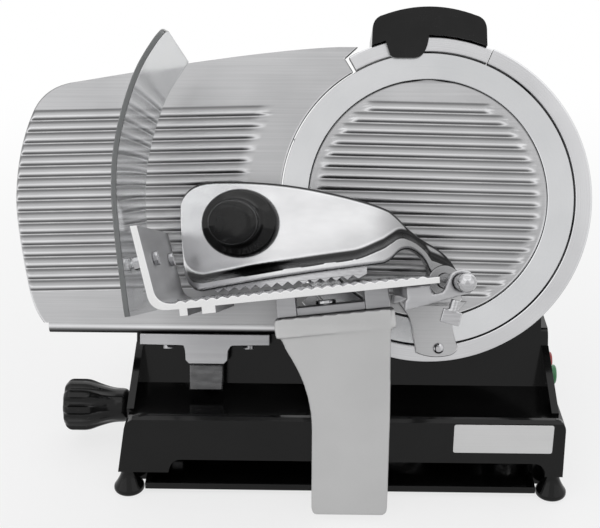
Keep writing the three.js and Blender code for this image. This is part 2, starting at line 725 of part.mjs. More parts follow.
// Gauge bracket under the lip, with its two screw heads, and the slider block on the guide rod
const bracketTop = gaugeBottom - seatGap;
const screwHeads = [gaugeRodU - 33.5, gaugeRodU + 36];
function gaugeBracket() {
  const barFoot = bracketTop - 9.5;
  const bar = box(gaugeRodU - 57.5, gaugeRodU + 54.2, barFoot, bracketTop, -gaugeLip, -1.5);
  const side = [
    [24, barFoot + 1], [20, barFoot - 1.2], [18.6, barFoot - 5], [18, bossBottom + 3], [15, bossBottom],
  ];
  const boss = prism(shapeOf([
    ...side.map(([u, v]) => [gaugeRodU - u, v]), ...side.reverse().map(([u, v]) => [gaugeRodU + u, v]),
  ]), -gaugeLip, -1.5);
  const heads = screwHeads.map((u) => rod(4.6, barFoot - 3.2, barFoot + 2, 16)
    .rotateX(-Math.PI / 2).translate(u, 0, -7));
  return join(bar, boss, ...heads);
}
addPart('gauge_bracket', gaugeBracket(), 'castAluminium', head);
const spigotRadius = 6;
const sliderHalf = 14.6;
const sliderFront = 1;
// The slider's underside is cut level behind its front edge, so that it clears the deck as it goes back
const sliderBevel = 4; // how far the cut rises by the slider's back
const bevelFront = -gaugeLip + sliderBevel / Math.tan(rad(bladeTilt));
addPart('gauge_slider', cut(
  prismX(shapeOf([
    [blockBottom, bevelFront], [blockBottom, sliderFront], [bossBottom - seatGap, sliderFront],
    [bossBottom - seatGap, -gaugeLip], [blockBottom + sliderBevel, -gaugeLip],
  ]), gaugeRodU - sliderHalf, gaugeRodU + sliderHalf),
  rod(spigotRadius + seatGap, -gaugeLip - 1, -4).translate(gaugeRodU, gaugeRodV, 0)), 'steel', head);

const gaugeRodEnd = 104;
const collarFront = 66;
const gaugeFrame = new THREE.Group();
gaugeFrame.position.set(gaugeRodU, gaugeRodV, 0);
head.add(gaugeFrame);
addPart('gauge_rod', join(
  rod(gaugeRodRadius, -gaugeRodEnd, -gaugeLip - 0.2),
  rod(spigotRadius, -gaugeLip - 1, -5)), 'steel', gaugeFrame);

// Guide block: bolted behind the back wall, the rod slides in it
const guideLength = 15;
addPart('gauge_guide', cut(
  box(-16, 16, -10, 14, -backWall - wall - seatGap - guideLength, -backWall - wall - seatGap),
  rod(gaugeRodRadius + runGap, -200, 0)), 'castAluminium', gaugeFrame);

// Adjuster: knob, shaft and scroll disc, and the follower arm whose pin rides in the scroll
const knobV = headV(knobY, knobZ);
const knobW = headW(knobY, knobZ);
const followerDrop = knobV - gaugeRodV;
const pinCentre = knobW - scrollStart;
const discFace = -214; // inner face of the scroll disc
const discThickness = 9;
const discRadius = scrollStart + gaugeTravel + followerRadius + 1.5;
addPart('gauge_follower', (() => {
  const armLeftFace = discFace - gaugeRodU + 1.5;
  const collar = ring(gaugeRodRadius + seatGap, 14, pinCentre - 7, pinCentre + 7);
  const arm = box(armLeftFace, armLeftFace + 7, followerDrop - 6, 4, pinCentre - 6, pinCentre + 6);
  const web = box(armLeftFace, -11, -4, 4, pinCentre - 6, pinCentre + 6);
  const pin = alongX(rod(followerRadius, armLeftFace - 8, armLeftFace + 1, 16), followerDrop, pinCentre);
  return join(collar, arm, web, pin);
})(), 'steel', gaugeFrame);

function scrollGroove() {
  const steps = 30;
  const half = followerRadius + runGap;
  const start = -34;
  const end = scrollTurn + 20;
  const spiral = (offset) => Array.from({ length: steps + 1 }, (_, i) => {
    const turn = start + ((end - start) * i) / steps;
    const radius = scrollStart + (gaugeTravel * turn) / scrollTurn + offset;
    const angle = 180 + bladeTilt + 180 - turn;
    const [y, z] = polar(radius, -angle);
    return [y, z];
  });
  return shapeOf([...spiral(half), ...spiral(-half).reverse()]);
}
const knobFrame = new THREE.Group();
knobFrame.position.set(0, knobY, knobZ);
slicer.add(knobFrame);
const knobShaftRadius = 6;
const knobFaceX = baseLeft - 2;
addPart('scroll_shaft', cut(
  join(
    alongX(rod(discRadius, discFace - discThickness, discFace, 28), 0, 0),
    alongX(rod(knobShaftRadius, knobFaceX - 30, discFace - 2), 0, 0)),
  prismX(scrollGroove(), discFace - 7, discFace + 1)), 'steel', knobFrame);

function thicknessKnob() {
  const flutes = [];
  const count = 10;
  const gripLeft = knobFaceX - knobLength;
  for (let i = 0; i < count; i += 1) {
    const [y, z] = polar(knobRadius + 3.4, (360 * i) / count);
    flutes.push(alongX(rod(6, gripLeft - 1, gripLeft + 40, 8), y, z));
  }
  const body = turned([
    [0, gripLeft], [knobRadius - 4, gripLeft], [knobRadius, gripLeft + 4], [knobRadius, gripLeft + 22],
    [knobRadius - 4, gripLeft + 32], [knobRadius - 7.6, gripLeft + 44], [knobRadius - 8, knobFaceX],
    [0, knobFaceX],
  ], 30);
  const bore = alongX(rod(knobShaftRadius + seatGap, knobFaceX - 31, knobFaceX + 1), 0, 0);
  return cut(alongX(body, 0, 0), ...flutes, bore);
}
addPart('thickness_knob', thicknessKnob(), 'blackPlastic', knobFrame);

// Carriage guides in the base: a round rod and a channel rail
const railFront = -78;
const railRear = -61;
const railWall = 3;
addPart('carriage_rod', alongX(rod(carriageRodRadius, carriageRodLeft, carriageRodRight),
  carriageRodY, carriageRodZ), 'steel');
addPart('carriage_rail', cut(
  box(baseLeft + sideDraft + wall + seatGap, baseRight - 1 - wall - seatGap, railFront, railRear, ...railZ),
  box(baseLeft - 10, baseRight + 10, railFront - 1, railRear - railWall,
    railZ[0] + railWall, railZ[1] - railWall)), 'steel');

// Slide block: runs on the rod and carries the arm through the cut-out
const blockLeft = armLeft + 6;
const blockRight = armRight - 5;
const bushRadius = carriageRodRadius + 3;
const armBack = armFront + armDepth;
const shoeX = (blockLeft + blockRight) / 2;
const shoeZ = (railZ[0] + railZ[1]) / 2;
const shoeStem = 4;
const shoeStemEnd = carriageRodY + 11;
const shoeLength = 30;
function slideBlock() {
  const block = box(blockLeft, blockRight, carriageRodY - 14, carriageRodY + 14, 15, carriageRodZ + 13);
  const tongue = box(blockLeft, blockRight, armBack + seatGap, carriageRodY, 15, slotTop - 6);
  const bore = alongX(rod(bushRadius + seatGap, blockLeft - 1, blockRight + 1), carriageRodY, carriageRodZ);
  const shoeSeat = alongY(rod(shoeStem + seatGap, shoeStemEnd - seatGap, 0, 16), shoeX, shoeZ);
  return cut(join(block, tongue), bore, shoeSeat);
}
addPart('slide_block', slideBlock(), 'castAluminium');
addPart('slide_bush', alongX(ring(carriageRodRadius + runGap, bushRadius, blockLeft, blockRight),
  carriageRodY, carriageRodZ), 'bronze');
const shoeHalf = (railZ[1] - railZ[0]) / 2 - railWall - runGap;
addPart('guide_shoe', join(
  box(shoeX - shoeLength / 2, shoeX + shoeLength / 2, railFront + 2, railRear - railWall - 1,
    shoeZ - shoeHalf, shoeZ + shoeHalf),
  alongY(rod(shoeStem, shoeStemEnd, railFront + 4, 16), shoeX, shoeZ)), 'nylon');

// Carriage arm: cast leg in front of the base and a head that follows the tray
const headTop = -21; // arm's top below the tray's floor, in the tray's frame
const postW = [70, 118]; // back and front of the tray bracket's posts
const boltX = 12;
const boltW = postW[1] - 14;
function carriageArm() {
  const leg = new THREE.Shape();
  leg.moveTo(armLeft + 5, armBottom);
  leg.quadraticCurveTo(armLeft, armBottom, armLeft, armBottom + 7);
  leg.lineTo(armLeft, 92);
  leg.quadraticCurveTo(armLeft - 1.5, 126, armLeft - 16, 152);
  leg.quadraticCurveTo(armLeft - 28, 172, armLeft - 29.5, 200);
  leg.lineTo(armRight - 2.5, 215);
  leg.lineTo(armRight, 98);
  leg.lineTo(armRight, armBottom + 7);
  leg.quadraticCurveTo(armRight, armBottom, armRight - 5, armBottom);
  leg.closePath();
  const legSolid = prismY(leg, armFront, armBack, 5);
  const pocket = box(armLeft + 8, armRight - 8, armFront + 8, armBack + 1, 38, 150);
  const toMachine = (geometry) => fromHead(geometry.applyMatrix4(trayFrame.matrix));
  const above = toMachine(box(-200, 200, headTop, 200, -100, 400));
  const headBlock = toMachine(box(-29, 64, headTop - 15, headTop, postW[0] - 8, postW[1] + 4));
  const headPocket = toMachine(box(-21, 56, headTop - 16, headTop - 6, postW[0], boltW));
  return cut(join(legSolid, headBlock), above, pocket, headPocket);
}
addPart('carriage_arm', carriageArm(), 'castAluminium');

// Tray bracket: two posts and a cross bar between the arm's head and the tray, with a bolt
const bracketBase = headTop + seatGap;
const trayUnder = -trayThickness - seatGap;
function trayBracket() {
  const left = box(-26, -11, bracketBase, trayUnder, ...postW);
  const right = box(42, 61, bracketBase, trayUnder, ...postW);
  const bar = box(-20, 50, bracketBase, bracketBase + 7, postW[0] + 6, postW[1] - 4);
  const bore = rod(4 + seatGap, -20, 20, 16);
  const hole = bore.rotateX(Math.PI / 2).translate(boltX, bracketBase + 4, boltW);
  return cut(join(left, right, bar), hole);
}
addPart('tray_bracket', trayBracket(), 'castAluminium', trayFrame);
addPart('bracket_bolt', turned([
  [0, bracketBase], [4, bracketBase], [4, bracketBase + 7.4], [8, bracketBase + 7.4],
  [8, bracketBase + 10.6], [0, bracketBase + 10.6],
], 20).rotateX(-Math.PI / 2).translate(boltX, 0, boltW), 'steel', trayFrame);

// Food tray: floor with fine ribs along its depth, left wall, and two ribs below
const trayLean = 8; // how far the wall's top leans out
function trayProfile() {
  const shape = new THREE.Shape();
  const cornerRound = 13;
  shape.moveTo(trayRight, 0);
  shape.lineTo(trayRight, -trayThickness);
  for (const [x, width] of [[-71, 10], [-89, 6]]) {
    shape.lineTo(x + width / 2, -trayThickness);
    shape.lineTo(x + width / 2, -trayThickness - 5);
    shape.lineTo(x - width / 2, -trayThickness - 5);
    shape.lineTo(x - width / 2, -trayThickness);
  }
  shape.lineTo(trayLeft + cornerRound - 4, -trayThickness);
  shape.quadraticCurveTo(trayLeft - 5, -trayThickness, trayLeft - 6, cornerRound - 4);
  shape.lineTo(trayLeft - 5 - trayLean, trayWall);
  shape.lineTo(trayLeft - trayLean, trayWall);
  shape.lineTo(trayLeft - 1, cornerRound);
  shape.quadraticCurveTo(trayLeft, 0, trayLeft + cornerRound, 0);
  const count = Math.floor((trayRight - 4 - trayLeft - cornerRound) / trayRibPitch);
  for (let i = 0; i < count; i += 1) {
    const x = trayLeft + cornerRound + 1 + i * trayRibPitch;
    shape.lineTo(x, 0);
    shape.lineTo(x + 2, 1.4);
    shape.lineTo(x + 4.8, 1.4);
    shape.lineTo(x + 6.8, 0);
  }
  shape.closePath();
  return shape;
}
const screwW = [55, 150];
const screwLift = 34; // shield screws above the tray's floor
const wallX = trayLeft - 1 - (trayLean - 1) * ((screwLift - 13) / (trayWall - 13));
const wallSlope = Math.atan((trayLean - 1) / (trayWall - 13));
function shieldScrewAxis(geometry, w) {
  return geometry.rotateY(-Math.PI / 2).rotateZ(wallSlope).translate(wallX, screwLift, w);
}
const shieldScrewRadius = 3;
function foodTray() {
  const holes = screwW.map((w) => shieldScrewAxis(rod(shieldScrewRadius + seatGap, -10, 14, 16), w));
  return cut(prism(trayProfile(), trayBack, trayFront, 4), ...holes);
}
addPart('food_tray', foodTray(), 'polishedAluminium', trayFrame);

// Clear hand shield: a curved sheet beside the tray's wall, spaced off it by its screws
const shieldOffset = -3.2; // further out than the curve's own line
const shieldBack = 44;
const shieldFront = trayFront + 1;
const shieldCorner = 14; // radius of its upper front corner
function shieldCurve(offset) {
  const points = [[-204.5, 110.4], [-223.6, 77.8], [-236, 36], [-239.5, 0], [-236.6, -40], [-229, -97]];
  const curve = new THREE.CatmullRomCurve3(points.map(([x, y]) => new THREE.Vector3(x, y, 0)));
  const steps = 18;
  return Array.from({ length: steps + 1 }, (_, i) => {
    const point = curve.getPoint(i / steps);
    const tangent = curve.getTangent(i / steps);
    return [point.x + tangent.y * offset, point.y - tangent.x * offset];
  });
}
function handShield() {
  const sheet = prism(shapeOf([
    ...shieldCurve(shieldOffset), ...shieldCurve(shieldOffset + shieldThickness).reverse(),
  ]), shieldBack, shieldFront);
  const [top, next] = shieldCurve(shieldOffset).map(([x, y]) => new THREE.Vector3(x, y, 0));
  const down = next.clone().sub(top).normalize();
  const ahead = new THREE.Vector3(0, 0, 1);
  const corner = cut(
    box(-1, shieldCorner, shieldFront - shieldCorner, shieldFront + 1, -20, 20),
    rod(shieldCorner, -21, 21, 48).translate(shieldCorner, shieldFront - shieldCorner, 0))
    .applyMatrix4(new THREE.Matrix4().makeBasis(down, ahead, down.clone().cross(ahead)).setPosition(top));
  const holes = screwW.map((w) => shieldScrewAxis(rod(shieldScrewRadius + seatGap, -6, 40, 16), w)
    .applyMatrix4(trayFrame.matrix));
  return cut(sheet, corner, ...holes);
}
addPart('hand_shield', handShield(), 'clear', head);

// How far along a screw, from the wall's inner face, one side of the shield lies
function shieldReach(offset, side) {
  const toTray = new THREE.Matrix4().copy(trayFrame.matrix).invert();
  const line = shieldCurve(offset).map(([x, y]) => new THREE.Vector3(x, y, 0).applyMatrix4(toTray));
  const reach = line.map((p) => {
    const dx = p.x - wallX;
    const dy = p.y - screwLift;
    return {
      along: -dx * Math.cos(wallSlope) - dy * Math.sin(wallSlope),
      across: -dx * Math.sin(wallSlope) + dy * Math.cos(wallSlope),
    };
  });
  const at = (across) => {
    const i = reach.findIndex((p, k) => k > 0 && (reach[k - 1].across - across) * (p.across - across) <= 0);
    const [a, b] = [reach[i - 1], reach[i]];
    return a.along + ((b.along - a.along) * (across - a.across)) / (b.across - a.across);
  };
  const nearby = [-6, 0, 6].map(at);
  return side === 'near' ? Math.min(...nearby) : Math.max(...nearby);
}
const shieldNear = Math.min(
  shieldReach(shieldOffset, 'near'), shieldReach(shieldOffset + shieldThickness, 'near'));
const shieldFar = Math.max(
  shieldReach(shieldOffset, 'far'), shieldReach(shieldOffset + shieldThickness, 'far'));
screwW.forEach((w, i) => {
  const spacerStart = 5 + 0.6;
  const nut = -seatGap - 0.2;
  const shank = shieldScrewRadius;
  const screw = turned([
    [0, nut - 3.6], [5.5, nut - 3.6], [5.5, nut], [shank, nut], [shank, spacerStart],
    [5, spacerStart], [5, shieldNear - seatGap], [shank, shieldNear - seatGap], [shank, shieldFar + seatGap],
    [6, shieldFar + seatGap], [5, shieldFar + 2.6], [0, shieldFar + 2.6],
  ], 10);
  addPart(`shield_screw_${i + 1}`, shieldScrewAxis(screw, w), 'steel', trayFrame);
});

// Pusher rod: held in a bracket along the tray's right edge, with a ball at its front end
const rodFrame = new THREE.Group();
rodFrame.position.set(rodU, rodV, 0);
head.add(rodFrame);
const lugFront = [trayFront - 14, trayFront - 6];
const lugBack = [hubBack - 5.5, hubBack - runGap];
const rodEnd = trayFront + 22;
addPart('pusher_rod', turned([
  [0, lugBack[0]], [rodRadius, lugBack[0]], [rodRadius, rodEnd], [ballRadius * 0.6, rodEnd + 2],
  ...Array.from({ length: 5 }, (_, i) => {
    const angle = -50 + 27 * i;
    return [ballRadius * Math.cos(rad(angle)), rodEnd + 8 + ballRadius * Math.sin(rad(angle))];
  }),
  [0, rodEnd + 8 + ballRadius],
], 16), 'steel', rodFrame);

function rodBracket() {
  const toTray = new THREE.Matrix4().copy(trayFrame.matrix).invert();
  const lug = (z0, z1) => prism(shapeOf([
    [-40, -21], [0, -9.5], [7, -8], [9.5, 0], [7, 7.5], [0, 9.5], [-7, 6.5], [-13, -7], [-40, -13.5],
  ]), z0, z1).translate(rodU, rodV, 0).applyMatrix4(toTray);
  const bar = box(70, 88, trayUnder - 9, trayUnder, lugBack[0], lugFront[1]);
  const bore = rod(rodRadius + seatGap, 0, trayFront + 30).translate(rodU, rodV, 0).applyMatrix4(toTray);
  const above = box(0, trayRight + 1, trayUnder, 20, 0, 250);
  return cut(join(lug(...lugFront), lug(...lugBack), bar), bore, above);
}
addPart('rod_bracket', rodBracket(), 'castAluminium', trayFrame);

// Wing screw that clamps the rod in its front lug
const wingLean = 15; // degrees that it points to the left of straight down
addPart('wing_screw', join(
  rod(3.4, -22, -13.1, 16), box(-7, 7, -2.2, 2.2, -31, -21))
  .rotateX(-Math.PI / 2).rotateZ(-rad(wingLean))
  .translate(0, 0, (lugFront[0] + lugFront[1]) / 2), 'steel', rodFrame);

// Pusher: bush on the rod, hub with an arched arm, plate with a rolled lower flange, teeth and knob
const bushOuter = rodRadius + 2.6;
addPart('pusher_bush', ring(rodRadius + runGap, bushOuter, hubBack, hubBack + hubLength, 24),
  'bronze', rodFrame);

// The plate's own frame: x along the plate, y up, z out of it, its right end over the hub
const plateFrame = new THREE.Group();
plateFrame.rotation.y = -rad(pusherYaw);
plateFrame.position.set(0, 0, hubBack + hubLength - 8);
rodFrame.add(plateFrame);
plateFrame.updateMatrix();
const handlePlace = [-171, 46.5];
function plateOutline() {
  const shape = new THREE.Shape();
  shape.moveTo(-221, 12);
  shape.lineTo(-224, 58);
  shape.quadraticCurveTo(-223, 81, -194, 82);
  shape.quadraticCurveTo(-150, 83, -112, 76);
  shape.quadraticCurveTo(-66, 67, -46, 58);
  shape.quadraticCurveTo(-40, 54, -30, 43);
  shape.quadraticCurveTo(-20, 34, -8, 28);
  shape.lineTo(-8, 17);
  shape.quadraticCurveTo(-24, 21, -50, 18);
  shape.quadraticCurveTo(-140, 6, -198, -6);
  shape.quadraticCurveTo(-217, -7, -221, 12);
  shape.closePath();
  return shape;
}
function pusherPlate() {
  const back = -pusherThickness;
  const plate = prism(plateOutline(), back, 0, 6);
  const flangeShape = new THREE.Shape();
  flangeShape.moveTo(-201, -11);
  flangeShape.quadraticCurveTo(-140, 2, -50, 14);
  flangeShape.lineTo(-50, 18.5);
  flangeShape.quadraticCurveTo(-140, 7, -203, -6);
  flangeShape.closePath();
  const flange = prism(flangeShape, back, 13, 6);
  const boltHole = rod(3 + seatGap, -20, 20, 16).translate(...handlePlace, 0);
  const inRod = (geometry) => geometry.applyMatrix4(plateFrame.matrix);
  const arch = new THREE.Shape();
  arch.moveTo(-40, 22);
  arch.lineTo(-34, 44);
  arch.quadraticCurveTo(-20, 34, -8, 27);
  arch.quadraticCurveTo(8, 18, 12, 3);
  arch.lineTo(-11, 4);
  arch.quadraticCurveTo(-16, 14, -40, 20);
  arch.closePath();
  const archSolid = prism(arch, hubBack + 8, hubBack + hubLength, 6);
  const hub = rod(hubRadius, hubBack, hubBack + hubLength, 32);
  const bore = rod(bushOuter + seatGap, 0, 200);
  return cut(join(inRod(join(plate, flange)), archSolid, hub), bore, inRod(boltHole));
}
addPart('food_pusher', pusherPlate(), 'polishedAluminium', rodFrame);

// Grip plate: a strip with a row of teeth behind the pusher's lower edge
function gripPlate() {
  const shape = new THREE.Shape();
  const left = -196;
  const right = -64;
  const toothPitch = 9.25;
  const floor = (x) => -14.6 + (x + 215) * Math.tan(rad(trayRoll));
  shape.moveTo(left, floor(left) + 16);
  const teeth = Math.round((right - left) / toothPitch);
  for (let i = 0; i < teeth; i += 1) {
    const x = left + i * toothPitch;
    shape.lineTo(x, floor(x) + 3);
    shape.lineTo(x + toothPitch / 2, floor(x));
  }
  shape.lineTo(right, floor(right) + 3);
  shape.lineTo(right, floor(right) + 12);
  shape.closePath();
  return prism(shape, -pusherThickness - seatGap - 1.6, -pusherThickness - seatGap);
}
addPart('grip_plate', gripPlate(), 'steel', plateFrame);

// Handle knob: oval and waisted, on a stud through the plate
const studRadius = 3;
function handleKnob() {
  const knob = turned([
    [0, seatGap], [32.3, seatGap], [33.3, 3], [32.3, 7], [23, 14], [19.3, 20],
    [21.3, 27], [20.8, 31], [15.6, 34], [0, 34.6],
  ], 24).scale(1, 0.88, 1);
  const nut = -pusherThickness - seatGap;
  const stud = turned([
    [0, nut - 4], [6, nut - 4], [6.5, nut - 3], [6.5, nut], [studRadius, nut], [studRadius, 5], [0, 5],
  ], 14);
  return join(knob, stud).translate(...handlePlace, 0);
}
addPart('handle_knob', handleKnob(), 'blackPlastic', plateFrame);

// Slice deflector: a bent sheet behind the blade, screwed to the tower's left side
const deflectorSheet = 2;
const deflectorEdge = -bladeRadius + 9;
function uprightProfile(points, v0, v1) {
  const toUpright = new THREE.Matrix4().makeBasis(
    new THREE.Vector3(1, 0, 0), new THREE.Vector3(0, 0, 1), new THREE.Vector3(0, -1, 0));
  return prism(shapeOf(points), -v1, -v0).applyMatrix4(toUpright);
}
addPart('slice_deflector', (() => {
  const right = towerLeft - seatGap;
  const left = right - deflectorSheet;
  const bend = -backWall - 2;
  return uprightProfile([
    [deflectorEdge, -bladeBack - 6.5], [left, bend], [left, bend - 34], [right, bend - 34],
    [right, bend + 1.2], [deflectorEdge + 2, -bladeBack - 5],
  ], -46, 52);
})(), 'polishedAluminium', head);

// Switch plate with start and stop buttons on the right side
const switchX = baseRight - 1;
const switchY = 20;
const switchZ = 50;
const buttonSize = 9;
const buttonStep = 12.5; // each button's distance from the plate's middle
const buttonTravel = 3.2;
const switchDepth = 6;
const switchBack = switchX + 0.9;
const pocketFloor = switchBack + 2;
addPart('switch_plate', cut(
  box(switchBack, switchBack + switchDepth, switchY - 27, switchY + 27, switchZ - 14, switchZ + 14),
  ...[-buttonStep, buttonStep].map((dy) => alongX(rod(buttonSize + runGap, pocketFloor, switchX + 20),
    switchY + dy, switchZ))), 'blackPlastic');
const switches = [['start_button', -buttonStep, 'green'], ['stop_button', buttonStep, 'red']];
switches.forEach(([name, dy, colour]) => {
  const base = pocketFloor + buttonTravel;
  addPart(name, alongX(turned([
    [0, base], [buttonSize, base], [buttonSize, base + 6], [buttonSize - 1, base + 7], [0, base + 7],
  ], 18), switchY + dy, switchZ), colour);
});

// Cable inlet on the rear
addPart('cable_inlet', alongY(turned([
  [4, baseRear + seatGap], [11, baseRear + seatGap], [11, baseRear + 4], [8, baseRear + 5],
  [7, baseRear + 16], [4, baseRear + 16], [4, baseRear + seatGap],
], 14), 60, 46), 'blackPlastic');

// The origin is on the table, at the middle of the whole part's footprint
const whole = new THREE.Group();
whole.add(slicer);
whole.updateMatrixWorld(true);
const extent = new THREE.Box3().setFromObject(slicer, true);
const middle = extent.getCenter(new THREE.Vector3());
slicer.position.set(-middle.x, -middle.y, -extent.min.z);

export default whole;
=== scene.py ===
import json
import math

import bmesh
import bpy
import numpy as np
from mathutils import Matrix, Vector


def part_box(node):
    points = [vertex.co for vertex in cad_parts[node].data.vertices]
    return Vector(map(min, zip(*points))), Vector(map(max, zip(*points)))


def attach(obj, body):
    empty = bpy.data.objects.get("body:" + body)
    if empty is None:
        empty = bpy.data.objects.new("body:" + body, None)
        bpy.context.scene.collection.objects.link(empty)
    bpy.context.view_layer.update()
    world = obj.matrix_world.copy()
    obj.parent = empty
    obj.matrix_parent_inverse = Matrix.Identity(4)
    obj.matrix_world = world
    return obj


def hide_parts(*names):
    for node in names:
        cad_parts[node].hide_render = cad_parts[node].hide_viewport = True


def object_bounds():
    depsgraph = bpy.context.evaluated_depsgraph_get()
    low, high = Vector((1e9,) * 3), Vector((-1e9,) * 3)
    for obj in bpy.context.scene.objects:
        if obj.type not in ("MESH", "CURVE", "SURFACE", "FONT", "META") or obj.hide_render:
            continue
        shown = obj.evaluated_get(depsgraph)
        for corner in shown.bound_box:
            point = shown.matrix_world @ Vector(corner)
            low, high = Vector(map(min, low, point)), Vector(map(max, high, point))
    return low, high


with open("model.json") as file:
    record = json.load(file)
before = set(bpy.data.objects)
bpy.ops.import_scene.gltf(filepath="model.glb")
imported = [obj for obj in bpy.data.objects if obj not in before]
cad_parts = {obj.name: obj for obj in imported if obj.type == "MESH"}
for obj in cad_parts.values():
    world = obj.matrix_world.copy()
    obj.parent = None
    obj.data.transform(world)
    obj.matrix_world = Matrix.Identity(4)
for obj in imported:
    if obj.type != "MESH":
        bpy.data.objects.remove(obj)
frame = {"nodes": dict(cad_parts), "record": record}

cad_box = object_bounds()


# Base housing: one aluminium casting with the deck, the back wall and the blade tower.
# It is stoved in gloss black, which leaves a faint orange peel and rounds every edge.
class Socket:
    """An output of a shader node that takes part in sums as a number does."""

    def __init__(self, web, output):
        self.web = web
        self.output = output

    def work_out(self, operation, first, second):
        return self.web.node("ShaderNodeMath", {"operation": operation}, {0: first, 1: second})

    def __add__(self, other):
        return self.work_out("ADD", self, other)

    def __radd__(self, other):
        return self.work_out("ADD", other, self)

    def __mul__(self, other):
        return self.work_out("MULTIPLY", self, other)

    def __rmul__(self, other):
        return self.work_out("MULTIPLY", other, self)


class Web:
    """A tree of shader nodes, which all come from one method."""

    def __init__(self, tree):
        self.nodes = tree.nodes
        self.links = tree.links

    def node(self, kind, settings, inputs, output=0):
        made = self.nodes.new(kind)
        for name, value in settings.items():
            if name == "stops":
                stops = made.color_ramp.elements
                while len(stops) < len(value):
                    stops.new(1)
                for stop, (place, colour) in zip(stops, value):
                    stop.position = place
                    stop.color = (*colour, 1)
            else:
                setattr(made, name, value)
        for name, value in inputs.items():
            self.join(made.inputs[name], value)
        return Socket(self, made.outputs[output])

    def join(self, socket, value):
        if isinstance(value, Socket):
            self.links.new(value.output, socket)
        else:
            socket.default_value = value


class Finish(Web):
    """A material and its slot in the record."""

    def __init__(self, name, slot, constants):
        self.slot = slot
        self.material = bpy.data.materials.new(name)
        self.material.use_nodes = True
        super().__init__(self.material.node_tree)
        self.shader = self.nodes["Principled BSDF"]
        self.feed(constants)

    def feed(self, values):
        for name, value in values.items():
            self.join(self.shader.inputs[name], value)

    def place(self):
        return self.node("ShaderNodeTexCoord", {}, {}, "Object")

    def vector(self, operation, *inputs):
        """Vector maths, in which a length or a dot product comes out as a number."""
        output = "Value" if operation in ("LENGTH", "DOT_PRODUCT") else "Vector"
        sockets = dict(enumerate(inputs))
        return self.node("ShaderNodeVectorMath", {"operation": operation}, sockets, output)

    def stretched(self, along):
        return self.vector("MULTIPLY", self.place(), along)

    def noise(self, vector, scale, detail):
        return self.node("ShaderNodeTexNoise", {}, {
            "Vector": vector, "Scale": scale, "Detail": detail})

    def between(self, value, start, end, low=0, high=1, ease="LINEAR"):
        """Runs from low to high while a value goes from start to end."""
        return self.node("ShaderNodeMapRange", {"interpolation_type": ease}, {
            "Value": value, "From Min": start, "From Max": end, "To Min": low, "To Max": high})

    def tint(self, amount, dark, light):
        stops = [(0.25, dark), (0.75, light)]
        return self.node("ShaderNodeValToRGB", {"stops": stops}, {"Fac": amount})

    def mixed(self, amount, first, second, how="MIX"):
        settings = {"data_type": "RGBA", "blend_type": how}
        return self.node("ShaderNodeMix", settings, {0: amount, 6: first, 7: second}, 2)

    def bump(self, height, strength, distance):
        return self.node("ShaderNodeBump", {}, {
            "Height": height, "Strength": strength, "Distance": distance})


gloss_black = Finish("gloss_black_paint", "black_paint", {
    "Specular IOR Level": 0.18, "Coat Weight": 0.1, "Coat Roughness": 0.04})
orange_peel = gloss_black.noise(gloss_black.place(), 420, 1)
handling = gloss_black.noise(gloss_black.place(), 26, 4)
gloss_black.feed({
    "Base Color": gloss_black.tint(handling, (0.003, 0.003, 0.003), (0.006, 0.006, 0.006)),
    "Roughness": 0.08 + 0.1 * handling,
    "Normal": gloss_black.bump(orange_peel, 0.06, 0.0004),
})


def softened(node, edge):
    """The node's own solid with its hard edges rounded."""
    flat_angle = math.radians(1.5)
    hard_angle = math.radians(32)
    shortest = 2.2 * edge
    made = bmesh.new()
    made.from_mesh(frame["nodes"][node].data)
    bmesh.ops.remove_doubles(made, verts=made.verts, dist=1e-6)
    bmesh.ops.dissolve_limit(made, angle_limit=flat_angle, verts=made.verts, edges=made.edges)
    hard = [e for e in made.edges if len(e.link_faces) == 2 and e.calc_length() > shortest
            and e.calc_face_angle() > hard_angle]
    bmesh.ops.bevel(made, geom=hard, offset=edge, offset_type="OFFSET", segments=3, profile=0.5,
                    affect="EDGES", clamp_overlap=True)
    return made


def piece(name, made, body, finish, *nodes, smooth=38):
    """Hangs a finished mesh on its body, in place of the solids that it dresses."""
    mesh = bpy.data.meshes.new(name)
    made.to_mesh(mesh)
    made.free()
    mesh.materials.append(finish.material)
    mesh.shade_smooth()
    mesh.set_sharp_from_angle(angle=math.radians(smooth))
    thing = bpy.data.objects.new(name, mesh)
    bpy.context.collection.objects.link(thing)
    normals = thing.modifiers.new("flat_faces_stay_flat", "WEIGHTED_NORMAL")
    normals.keep_sharp = True
    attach(thing, body)
    if nodes:
        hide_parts(*nodes)
    return thing


base_edge = 0.0018
piece("base_casting", softened("base_housing", base_edge), "base", gloss_black, "base_housing")


# Bottom pan: a folded steel sheet, painted as the base is, that closes it from below.
# Its low front lip shows under the cut-out for the carriage arm.
# A strip on its left side and two upright ears close the view behind the front feet.
def rounded(points, radius, steps=5):
    """A chain of points with its inner corners rounded."""
    most = 0.45
    chain = [Vector(points[0])]
    for before, corner, after in zip(points, points[1:], points[2:]):
        corner = Vector(corner)
        back = Vector(before) - corner
        on = Vector(after) - corner
        cut = min(radius, back.length * most, on.length * most)
        start = corner + back.normalized() * cut
        end = corner + on.normalized() * cut
        for i in range(steps + 1):
            t = i / steps
            chain.append(start * (1 - t) ** 2 + corner * 2 * t * (1 - t) + end * t ** 2)
    chain.append(Vector(points[-1]))
    return chain


